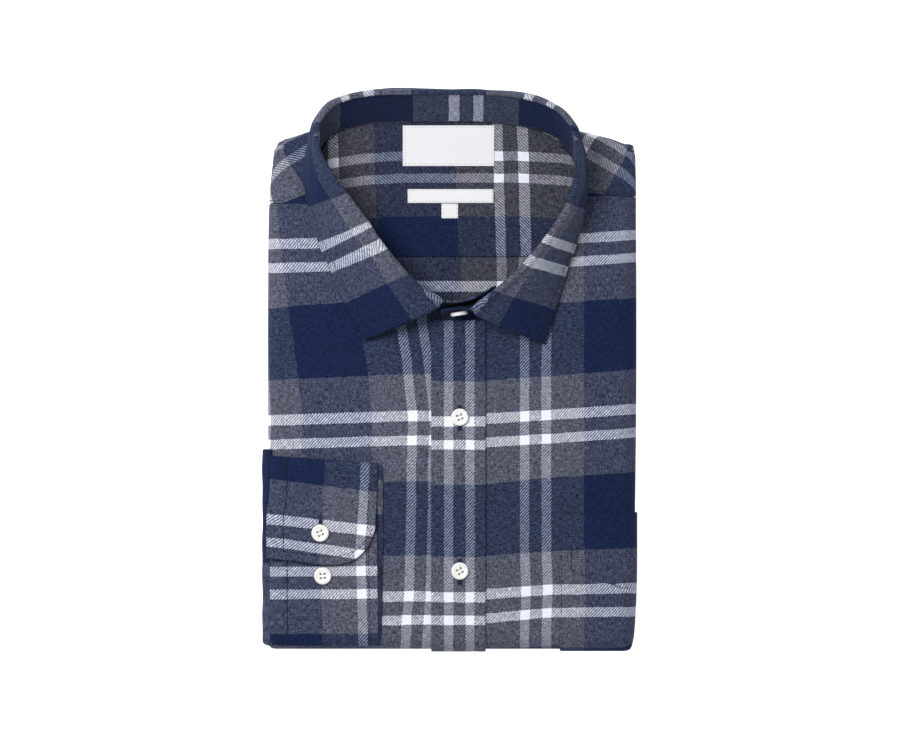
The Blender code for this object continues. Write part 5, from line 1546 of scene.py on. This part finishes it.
CUFF_STITCH, CUFF_GROOVE = 5.6, 0.3
CUFF_SEAM_STITCH, CUFF_SEAM_GROOVE = 11.8, 0.35


def between(ends, share):
    return ends[0] + (ends[1] - ends[0]) * share


def cuff_grid():
    """The cuff's middle line and its plaid: rows along its path, columns from the sleeve to its free edge."""
    columns = CUFF_SEAM + steps(CUFF_WIDEST_X - CUFF_SEAM, CUFF_CELL)
    reach = (columns - columns[0]) / (columns[-1] - columns[0])
    near = steps(CUFF_END_LONG, CUFF_CELL)[:5] / CUFF_END_LONG
    end_share = np.concatenate([near[:-1], np.linspace(near[-1], 1.0, CUFF_END_ROWS)])[:-1]
    knots = np.arange(len(CUFF_PATH), dtype=float)
    fine = np.concatenate([np.linspace(k, k + 1, TURN_STEPS)[:-1] for k in knots[:-2]])
    fine = np.concatenate([fine, knots[-2] + shares(length=9.0, spacing=1.0)[4:]])
    turns = read_all(CUFF_PATH, knots, fine)
    first = CUFF_PATH[0]
    at_end = 0 * end_share
    place = np.zeros((len(end_share) + len(fine), len(columns), 2))
    w = np.zeros(place.shape[:2])
    for j, start in enumerate(read(CUFF_END, "x y", columns)):
        place[:, j, 0] = np.concatenate([start + (first.t - start) * end_share, turns["t"]])
        place[:, j, 1] = np.concatenate([at_end + first.lift, turns["lift"]])
        w_path = between((turns["w_sleeve"], turns["w_edge"]), reach[j])
        stretch = between(CUFF_STRETCH, reach[j])
        w[:, j] = np.concatenate([w_path[0] + (first.t - start) * (1 - end_share) * stretch, w_path])
    rise = between(CUFF_SLOPE, reach) * smooth(*CUFF_SLOPE_FROM, place[..., 0])
    place[..., 0] += rise
    w -= rise
    edge = np.concatenate([at_end + first.edge, turns["edge"]])
    lean = np.concatenate([first.white - LAP_DRAWN * (1 - end_share), turns["white"]])
    s = columns[0] + (edge[:, None] - columns[0]) * reach[None, :]
    return s, place, s - lean[:, None], w


def cuff_faces(s, place):
    """Both faces of the cuff's wall, the outer one first."""
    path = np.gradient(place, axis=0)
    square = unit(joined(-path[..., 1], path[..., 0]))
    sides = (place + square * STIFF_WALL * way for way in (0.5, -0.5))
    return [sheet(s, at[..., 0], at[..., 1]) for at in sides]


def make_sleeve():
    rows = SLEEVE_BOTTOM + steps(SLEEVE_TOP - SLEEVE_BOTTOM, spacing=1.6)
    flat = side_left(rows)
    start = CUFF_SEAM - SEAM
    s = start + (flat - SLEEVE_LIP - start)[:, None] * shares(length=18.6, spacing=1.0, fine=1.2)
    past = flat[:, None] - s
    low = SEAM * 0.4 + SLEEVE_PUFF * smooth(*PUFF_RISES, past) * (1 - smooth(*PUFF_FALLS, past))
    t = rows[:, None] + 0 * s
    waves = np.sin(t / CRUMPLE_WAVES[0] + 1.0) * np.sin(t / CRUMPLE_WAVES[1])
    crumple = CRUMPLE * waves * smooth(*CRUMPLE_FROM, past)
    down = SLEEVE_GREY_AT - t
    w = -GREY_BAND + np.where(down > 0, *SLEEVE_STRETCH) * down
    plaid = (s - CUFF_SEAM + SLEEVE_U, w)
    return sheet_shell("sleeve_right", s, t, low, low + SLEEVE_WALL + crumple, plaid)


declare(make_sleeve(), width=19.0, length=131.0)
cuff_s, cuff_place, *cuff_plaid = cuff_grid()
CUFF_FACES = cuff_faces(cuff_s, cuff_place)
cuff_grooves = [(CUFF_GROOVE, CUFF_STITCH, (0, 1, 3)), (CUFF_SEAM_GROOVE, CUFF_SEAM_STITCH, (2,))]
cuff = shell("cuff_right", *CUFF_FACES, cuff_plaid, grooves=cuff_grooves)
declare(cuff, width=71.0, length=262.0)

# %% [markdown]
# ## The labels
#
# Three pieces of ribbon are sewn to the inner yoke: the wide neck label, a narrow one under it and a
# small size tab. All three are left bare. They lie on the yoke with a slight lift in the middle, as
# ribbon that is sewn only at its edges does.

# %% Labels
LABELS = table(
    "name left right bottom top puff inset",
    ("label_neck", -30.4, 29.1, 133.6, 160.0, 0.5, 1.5),
    ("label_care", -27.2, 28.6, 109.6, 118.6, 0.25, 0.9),
    ("label_size", -5.2, 5.6, 99.6, 109.2, 0.2, 0.9),
)
LABEL_THICK = 0.55
LABEL_TURN = 2.0  # what is folded under at opposite edges, both together
LABEL_LIFT = 0.12
LABEL_RIPPLE = 6.0


def label_top(label, x, y):
    """Height of the ribbon's under face over a point of the shelf."""
    across = np.sin(math.pi * (x - label.left) / (label.right - label.left))
    up = np.sin(math.pi * (y - label.bottom) / (label.top - label.bottom))
    puff = label.puff * np.clip(across * up, 0.0, 1.0) * (0.75 + 0.25 * np.sin(x / LABEL_RIPPLE))
    return inner_height(x, y) + (LABEL_LIFT + puff)


for label in LABELS:
    wide, long = label.right - label.left, label.top - label.bottom
    across, up = steps(wide, spacing=1.2, fine=0.3), steps(long, spacing=1.0, fine=0.3)
    x, y = np.meshgrid(label.left + across, label.bottom + up)
    low = joined(x, y, label_top(label, x, y))
    high = low + np.array([0.0, 0.0, LABEL_THICK])
    ribbon = shell(label.name, high, low, (x, y), RIBBON, "label", "ribbon")
    declare(ribbon, wide + LABEL_TURN, long + LABEL_TURN)

# %% [markdown]
# ## Buttons
#
# A shirt button is turned: a profile from the middle of the back round the rim to the dished middle of
# the face, spun round its axis. Its four thread holes are real holes, cut with a Boolean. The thread
# goes through them in two short bars.

# %% The button maker
BUTTON_RADIUS = 5.7
BUTTON_HEIGHT = 2.6
HOLE_RADIUS = 0.72
HOLE_SPACING = 2.7
BUTTON_SIDES = 56
BUTTON_PROFILE = table(
    "radius height",
    (0, 0), (4.7, 0), (5.3, 0.25), (5.62, 0.75), (5.7, 1.3), (5.58, 1.85), (5.25, 2.3), (4.8, 2.55),
    (4.3, 2.58), (3.9, 2.42), (3.55, 2.2), (3.1, 2.08), (2.4, 2.04), (0, 2.04),
)

BUTTONS = table(
    "node s t lift turn",
    ("button_front_1", 6.7, -29.7, SEAM + STIFF_WALL, 27),
    ("button_front_2", 6.7, -129.7, SEAM + STIFF_WALL, 25),
    ("button_cuff_1", -83.9, -105, 6.95, 23),
    ("button_cuff_2", -82.3, -132.8, 3.6, 3),
)
COLLAR_BUTTON_X = 5.3
COLLAR_BUTTON_UP = 0.52
COLLAR_BUTTON_SHANK = 0.3
COLLAR_BUTTON_TURN = 20

BAR_END, BAR_HALF_WIDE, BAR_HALF_THICK = 0.15, 0.24, 0.22
BAR_ARCH, BAR_DIVE = 0.16, 0.5  # how the thread's bar bends up in its middle and down at its ends
BAR_AROUND, BAR_STEPS = 8, 10
SHARP_EDGE = math.radians(42)
DISH = 2.04  # height of the button's face in its dished middle


def close_rings(data, rings):
    """Faces between rings of points. A ring of one point is the middle of a disc."""
    count = max(len(ring) for ring in rings)
    for low, high in zip(rings, rings[1:]):
        for k in range(count):
            after = (k + 1) % count
            corners = [low[k % len(low)], low[after % len(low)], high[after % len(high)], high[k % len(high)]]
            data.faces.new(tuple(dict.fromkeys(corners)))


def spun(radius, height):
    """The places of one ring of the button."""
    if radius == 0.0:
        return [(0, 0, height * MM)]
    angles = [2 * math.pi * k / BUTTON_SIDES for k in range(BUTTON_SIDES)]
    return [(radius * math.cos(a) * MM, radius * math.sin(a) * MM, height * MM) for a in angles]


def mesh_of(data, name):
    mesh = bpy.data.meshes.new(name)
    data.to_mesh(mesh)
    data.free()
    return mesh


def applied(thing):
    """The plain mesh that an object's modifiers make of it. The object goes."""
    graph = bpy.context.evaluated_depsgraph_get()
    made = bpy.data.meshes.new_from_object(thing.evaluated_get(graph))
    bpy.data.objects.remove(thing, do_unlink=True)
    return made


def drilled_button():
    """The button's mesh, its back on the floor, with its four holes cut."""
    data = bmesh.new()
    close_rings(data, [[data.verts.new(at) for at in spun(*ring)] for ring in BUTTON_PROFILE])
    blank = put("button_blank", mesh_of(data, "button_blank"))
    data = bmesh.new()
    drill_size = {"radius1": HOLE_RADIUS * MM, "radius2": HOLE_RADIUS * MM, "depth": BUTTON_HEIGHT * 2 * MM}
    for x, y in ((-0.5, -0.5), (-0.5, 0.5), (0.5, -0.5), (0.5, 0.5)):
        place = Matrix.Translation(Vector((x * HOLE_SPACING, y * HOLE_SPACING, BUTTON_HEIGHT / 2)) * MM)
        bmesh.ops.create_cone(data, cap_ends=True, segments=20, matrix=place, **drill_size)
    drill = put("button_drill", mesh_of(data, "button_drill"))
    cut = blank.modifiers.new("holes", "BOOLEAN")
    cut.operation, cut.solver, cut.object = "DIFFERENCE", "EXACT", drill
    made = applied(blank)
    bpy.data.objects.remove(drill, do_unlink=True)
    return made


def add_bar(data, x, height):
    """One bar of thread between two holes, rounded along its length."""
    rings = []
    for k in range(BAR_STEPS + 1):
        at = -1.0 + 2.0 * k / BAR_STEPS
        rise = height + BAR_ARCH * (1 - at**4) - BAR_DIVE * abs(at) ** 8
        y = at * (HOLE_SPACING / 2 + BAR_END)
        ring = []
        for j in range(BAR_AROUND):
            a = 2 * math.pi * j / BAR_AROUND
            place = Vector((x + BAR_HALF_WIDE * math.cos(a), y, rise + BAR_HALF_THICK * math.sin(a)))
            ring.append(data.verts.new(place * MM))
        rings.append(ring)
    close_rings(data, rings)
    data.faces.new(rings[0][::-1])
    data.faces.new(rings[-1])


DRILLED = drilled_button()


def put_button(node, foot, normal, turn):
    """A drilled button and its two bars of thread, standing for a CAD node."""
    up = Vector(normal).normalized()
    place = Matrix.Translation(Vector(foot) * MM) @ up.to_track_quat("Z", "Y").to_matrix().to_4x4()
    place = place @ Matrix.Rotation(math.radians(turn), 4, "Z")
    data = bmesh.new()
    for x in (-HOLE_SPACING / 2, HOLE_SPACING / 2):
        add_bar(data, x, DISH)
    bmesh.ops.recalc_face_normals(data, faces=data.faces[:])
    bars = mesh_of(data, f"{node}_thread")
    resin = DRILLED.copy()
    resin.materials.clear()
    for mesh, finish in ((resin, RESIN), (bars, WHITE_THREAD_GREYED_FOR_SHADE)):
        mesh.transform(place)
        mesh.materials.append(finish)
    button = put_piece(f"{node}_resin", resin, "button", node)
    button.data.set_sharp_from_angle(angle=SHARP_EDGE)
    put_piece(f"{node}_thread", bars, "label")


for button in BUTTONS:
    foot = sheet(button.s, button.t, button.lift + SEAM * 0.5)
    normal = sheet(button.s, button.t, button.lift + 1.0) - sheet(button.s, button.t, button.lift)
    put_button(button.node, foot, normal, button.turn)

near = len(STAND) - STAND_LAP_STATIONS - 1
near += int(np.argmin(np.abs(STAND[near:, 0, 0] - COLLAR_BUTTON_X)))
low, high = 4, -5  # the stand's columns between which it is flat
face = min((side[near] for side in (stand_outer, stand_inner)), key=lambda line: line[low, 1])
foot = face[low] + (face[high] - face[low]) * COLLAR_BUTTON_UP
way = face[low] - STAND[near, low]
way = unit(way * np.array([1.0, 1.0, 0.0]))
put_button("button_collar", foot + way * COLLAR_BUTTON_SHANK, way, COLLAR_BUTTON_TURN)
print("buttons:", len(BUTTONS) + 1, "each", 2 * BUTTON_RADIUS, "mm across")

# %% [markdown]
# ## Stitches
#
# Stitches repeat along a path, which is what Geometry Nodes are for. The path is a mesh of edges whose
# points carry the direction out of the cloth. The tree turns it into a curve, spaces points along it at
# the stitch pitch, and puts one rounded stitch on each, turned to lie along the path and flat on the
# cloth. Dense short ones across the path make a buttonhole.

# %% The stitch tree


def stitch_tree():
    tree = bpy.data.node_groups.new("stitches_on_a_path", "GeometryNodeTree")
    face = tree.interface
    face.new_socket("Path", in_out="INPUT", socket_type="NodeSocketGeometry")
    for name, value in (("Pitch", 0.0025), ("Along", 0.0019), ("Across", 0.0005), ("Thick", 0.0004)):
        face.new_socket(name, in_out="INPUT", socket_type="NodeSocketFloat").default_value = value
    face.new_socket("Thread", in_out="INPUT", socket_type="NodeSocketMaterial")
    face.new_socket("Stitches", in_out="OUTPUT", socket_type="NodeSocketGeometry")

    def add(kind, output, settings=None, **sockets):
        return add_node(tree, kind, settings, sockets).outputs[output]

    given = add_node(tree, "NodeGroupInput").outputs
    curve = add("GeometryNodeMeshToCurve", "Curve", Mesh=given["Path"])
    spaced = add("GeometryNodeResampleCurve", "Curve", {"mode": "LENGTH"}, Curve=curve, Length=given["Pitch"])
    out = add("GeometryNodeInputNamedAttribute", "Attribute", {"data_type": "FLOAT_VECTOR"}, Name="out")
    tangent = add("GeometryNodeInputTangent", "Tangent")
    align = "FunctionNodeAlignRotationToVector"
    lie = add(align, "Rotation", {"axis": "X"}, Vector=tangent)
    stand_up = add(align, "Rotation", {"axis": "Z", "pivot_axis": "X"}, Rotation=lie, Vector=out)
    ball = add("GeometryNodeMeshUVSphere", "Mesh", Segments=8, Rings=5, Radius=0.5)
    size = add("ShaderNodeCombineXYZ", "Vector", X=given["Along"], Y=given["Across"], Z=given["Thick"])
    stitch = add("GeometryNodeTransform", "Geometry", Geometry=ball, Scale=size)
    instances = {"Points": spaced, "Instance": stitch, "Rotation": stand_up}
    spread = add("GeometryNodeInstanceOnPoints", "Instances", **instances)
    real = add("GeometryNodeRealizeInstances", "Geometry", Geometry=spread)
    dressed = add("GeometryNodeSetMaterial", "Geometry", Geometry=real, Material=given["Thread"])
    add_node(tree, "NodeGroupOutput", {}, {"Stitches": dressed})
    return tree


STITCH_TREE = stitch_tree()
STITCH_SOCKETS = [item for item in STITCH_TREE.interface.items_tree if item.in_out == "INPUT"]
STITCH_INPUTS = {item.name: item.identifier for item in STITCH_SOCKETS}


def sew(name, paths, thread, slot, **sizes):
    """Stitches on several paths as one plain mesh. A path is its points and the way out of the cloth."""
    points = np.concatenate([path[0] for path in paths])
    ways = np.concatenate([unit(path[1]) for path in paths])
    edges, start = [], 0
    for path in paths:
        edges += [(k, k + 1) for k in range(start, start + len(path[0]) - 1)]
        start += len(path[0])
    mesh = bpy.data.meshes.new(f"{name}_guide")
    mesh.from_pydata((points * MM).tolist(), edges, [])
    out = mesh.attributes.new("out", "FLOAT_VECTOR", "POINT")
    out.data.foreach_set("vector", ways.astype(np.float32).ravel())
    guide = put(f"{name}_guide", mesh)
    modifier = guide.modifiers.new("stitches", "NODES")
    modifier.node_group = STITCH_TREE
    modifier[STITCH_INPUTS["Thread"]] = thread
    for label, value in sizes.items():
        modifier[STITCH_INPUTS[label]] = value * MM
    made = applied(guide)
    put_piece(name, made, slot)
    run = sum(distances(path[0], 0)[-1] for path in paths)
    print(f"{name}: {run:.0f} mm of seam, {len(made.polygons)} faces")


# %% [markdown]
# Each seam is a path in the coordinates of the piece it is sewn on: across and along the folded sheet on
# the fronts, the placket and the pocket, and a row or column of the piece's own grid on the cuff and the
# collar leaf.

# %% Where the seams run


def on_pack(s, t, lift):
    """A path on the folded sheet."""
    foot = sheet(s, t, lift)
    return foot, sheet(s, t, lift + 1.0) - foot


def on_grid(face, middle, distance, inset, across):
    """A path on a grid's face, at a given distance in from one of its sides."""
    paths = []
    for grid in (face, middle):
        path = []
        for line, far in zip(grid, distance) if across else zip(grid.swapaxes(0, 1), distance.T):
            rising = np.argsort(far)
            path.append([np.interp(inset, far[rising], line[rising, k]) for k in range(3)])
        paths.append(np.array(path))
    return paths[0], paths[0] - paths[1]


def pressed(path, kept, depth):
    """The part of a path that is sewn, pressed into the cloth by a share of half its thickness."""
    foot, way = path
    return foot[kept] - way[kept] * depth, way[kept]


PATH_STEP = 2.0
PLACKET_SUNK, POCKET_SUNK = 0.16, 0.13  # how deep the thread lies in its groove
PLACKET_HEM = 0.5  # the second row runs this close to the edge, where the cloth already rounds over
SHOULDER_STITCH, SHOULDER_SEWN_TO = 1.9, 125.0
seams = []
down = np.arange(BOTTOM_EDGE - FRONT_LIP + PATH_STEP, PLACKET_TOP - 1.0, PATH_STEP)
seams.append(on_pack(PLACKET_RIGHT - PLACKET_STITCH, down, SEAM + STIFF_WALL - PLACKET_SUNK))
seams.append(on_pack(PLACKET_RIGHT - PLACKET_HEM, down, SEAM + STIFF_WALL * 0.8))
for side, sign in (("right", -1.0), ("left", 1.0)):
    reach = np.arange(SHOULDER_SEAM_X + 8.0, SHOULDER_SEWN_TO, PATH_STEP) * sign
    seams.append(on_pack(reach, shoulder_seam(side, reach) + SHOULDER_STITCH, 0.03))
down = np.arange(BOTTOM_EDGE - POCKET_LIP + PATH_STEP, POCKET_TOP[0] - 1.0, PATH_STEP)
seams.append(on_pack(POCKET_LEFT + POCKET_STITCH, down, SEAM + WALL - POCKET_SUNK))
print("rows of stitches on the pack:", len(seams))

# %% [markdown]
# The cuff is sewn all round and beside the sleeve, but not where it turns over behind. The leaf is sewn
# along its three free edges, as far in as its groove.

# %% Seams on the cuff and the leaf
CUFF_PRESSED, LEAF_PRESSED = 0.1, 0.15
LEAF_ENDS = slice(8, -8)  # the rows up the leaf's front ends start and stop this many columns in
cuff_middle = (CUFF_FACES[0] + CUFF_FACES[1]) / 2
cuff_edges = edge_distances(cuff_middle)
cuff_seam_and_shade_paths = []
for edge, inset, kept_in in ((2, CUFF_SEAM_STITCH, cuff_seam_and_shade_paths), (3, CUFF_STITCH, seams)):
    path = on_grid(CUFF_FACES[0], cuff_middle, cuff_edges[edge], inset, True)
    start = int(np.argmax(cuff_edges[0][:, 0] > CUFF_STITCH))
    rear = np.flatnonzero(path[1][:, 2] < 0.0)
    for part in (slice(start, rear[0] - 2), slice(rear[-1] + 3, None)):
        kept_in.append(pressed(path, part, CUFF_PRESSED))
inside = (cuff_edges[2][0] > CUFF_SEAM_STITCH) & (cuff_edges[3][0] > CUFF_STITCH)
path = on_grid(CUFF_FACES[0], cuff_middle, cuff_edges[0], CUFF_STITCH, False)
seams.append(pressed(path, inside, CUFF_PRESSED))
leaf_outer = max(leaf_faces, key=lambda face: face[LEAF_STATIONS // 2, 30, 2])
leaf_edges = edge_distances(LEAF)
inside = (leaf_along > leaf_along[0] + LEAF_STITCH) & (leaf_along < leaf_along[-1] - LEAF_STITCH)
for edge, kept in ((3, inside), (0, LEAF_ENDS), (1, LEAF_ENDS)):
    path = on_grid(leaf_outer, LEAF, leaf_edges[edge], LEAF_STITCH, edge == 3)
    seams.append(pressed(path, kept, LEAF_PRESSED))
sew("seam_stitches", seams, NAVY_THREAD, "flannel", Pitch=2.7, Along=2.2, Across=0.5, Thick=0.38)
# Painted shade in part: the row beside the sleeve is wider and thicker than the other seams, so that its dark
# thread also stands for the shade in its groove.
sew("cuff_seam_stitches_and_groove_shade", cuff_seam_and_shade_paths, NAVY_THREAD, "flannel", Pitch=2.7, Along=2.6, Across=0.8, Thick=0.5)

# %% [markdown]
# Inside the neck, one row follows the inner yoke's seam, and each label is sewn round its four edges.

# %% Seams inside the neck
UP = np.array([0.0, 0.0, 1.0])
INNER_STITCH = 1.6
x, y = np.arange(-62.0, 66.0, PATH_STEP), YOKE_SEAM_Y + INNER_STITCH
foot = joined(x, y, inner_height(x, y) + 0.05)
inner_seam = [(foot, UP + 0 * foot)]
sew("inner_yoke_stitches", inner_seam, NAVY_THREAD, "flannel", Pitch=2.7, Along=2.0, Across=0.42, Thick=0.34)

LABEL_PATH_STEP = 1.5
label_paths = []
for label in LABELS:
    left, right = label.left + label.inset, label.right - label.inset
    bottom, top = label.bottom + label.inset, label.top - label.inset
    corners = [(left, bottom), (right, bottom), (right, top), (left, top), (left, bottom)]
    for (x0, y0), (x1, y1) in zip(corners, corners[1:]):
        count = max(3, int(math.hypot(x1 - x0, y1 - y0) / LABEL_PATH_STEP))
        x, y = np.linspace(x0, x1, count), np.linspace(y0, y1, count)
        foot = joined(x, y, label_top(label, x, y) + LABEL_THICK)
        label_paths.append((foot, UP + 0 * foot))
sew("label_stitches", label_paths, WHITE_THREAD_GREYED_FOR_SHADE, "label", Pitch=2.2, Along=1.5, Across=0.4, Thick=0.3)

# %% [markdown]
# A buttonhole is a bar of stitches so close that they touch, laid across its slit. On the placket it runs
# up and down under the button, a little longer than the button is wide, and on the cuff it runs towards
# the cuff's middle. The bars are dark and drawn wider than the stitches alone: in part they are painted
# shade, for the soft dimple round each button.

# %% Buttonholes
# Painted shade in part: the front bars are longer, and all bars wider, than their stitches alone, so that
# they also stand for the shade round each button.
FRONT_HOLE_WITH_SHADE = 16.4
HOLE_WIDE_WITH_SHADE = 3.7
HOLE_POINTS = 12
HOLE_BELOW = 0.6  # the hole's middle lies this far below its button
CUFF_HOLE_S, CUFF_HOLE_T = -83.6, (-107.0, -93.4)
CUFF_HOLE_LIFTS = ((-97, 6.97), (-91, 5.8), (-85, 4.4))  # t, and how high the cuff's face lies there

holes = []
for button in BUTTONS[:2]:
    ends = button.t - FRONT_HOLE_WITH_SHADE / 2 - HOLE_BELOW, button.t + FRONT_HOLE_WITH_SHADE / 2 - HOLE_BELOW
    at = np.linspace(*ends, HOLE_POINTS)
    holes.append(on_pack(button.s, at, button.lift + 0.02))
at = np.linspace(*CUFF_HOLE_T, HOLE_POINTS)
holes.append(on_pack(CUFF_HOLE_S, at, np.interp(at, *zip(*CUFF_HOLE_LIFTS))))
sew("buttonholes_with_painted_shade", holes, HOLE_THREAD_WITH_SHADE, "flannel", Pitch=0.42, Along=0.5, Across=HOLE_WIDE_WITH_SHADE, Thick=0.5)

# %% [markdown]
# ## Floor, light and camera
#
# The shirt is seen from straight above through a long lens, on a plain pale floor that is lit from
# beneath. A broad lamp hangs near the shirt, over its upper left, so the far corner is a little darker
# and the insides of the collar stay in the shade. A weak one fills from the lower right, and an overcast
# from all round softens both.

# %% Stage, light and camera
VIEW_CENTRE = (0.325, 1.95)
VIEW_WIDTH = 585.0
VIEW_PLANE = 20.0
LENS, SENSOR = 900.0, 36.0
FLOOR_REACH, FLOOR_Z = 4.0, -0.0003
GLOW = 0.8  # what the floor gives off, lit from beneath
OVERCAST, OVERCAST_COLOUR = 0.56, (0.98, 0.99, 1.0, 1.0)

floor_mesh = bpy.data.meshes.new("floor")
corners = [(x * FLOOR_REACH, y * FLOOR_REACH, FLOOR_Z) for x, y in ((-1, -1), (1, -1), (1, 1), (-1, 1))]
floor_mesh.from_pydata(corners, [], [(0, 1, 2, 3)])
paper = Finish("floor_paper", Metallic=0.0, Specular_IOR_Level=0.0, Roughness=1.0)
paper.set("Base Color", (0.93, 0.93, 0.93, 1.0))
paper.set("Emission Color", (1.0, 1.0, 1.0, 1.0))
paper.set("Emission Strength", GLOW)
floor_mesh.materials.append(paper.material)
put("floor", floor_mesh)


def lamp(name, place, size, watts):
    """A round lamp that is aimed at the middle of the shirt."""
    light = bpy.data.lights.new(name, "AREA")
    light.shape, light.size, light.energy = "DISK", size, watts
    thing = put(name, light)
    thing.location = place
    thing.rotation_mode = "QUATERNION"
    thing.rotation_quaternion = (-Vector(place)).to_track_quat("-Z", "Y")


lamp("key", (-0.42, 0.30, 1.0), size=0.5, watts=12.4)
lamp("fill", (1.0, -1.0, 1.5), size=1.0, watts=2.5)
scene = bpy.context.scene
scene.world = bpy.data.worlds.new("overcast")
scene.world.use_nodes = True
sky = scene.world.node_tree.nodes["Background"].inputs
sky["Color"].default_value, sky["Strength"].default_value = OVERCAST_COLOUR, OVERCAST
scene.view_settings.view_transform = "Standard"

lens = bpy.data.cameras.new("camera")
lens.lens = LENS
lens.sensor_width = SENSOR
lens.clip_start, lens.clip_end = 0.1, 50.0
camera = put("camera", lens)
camera.location = Vector((*VIEW_CENTRE, VIEW_PLANE + VIEW_WIDTH * LENS / SENSOR)) * MM
bpy.context.scene.camera = camera
print("camera", round(camera.location.z, 2), "m above the shirt")
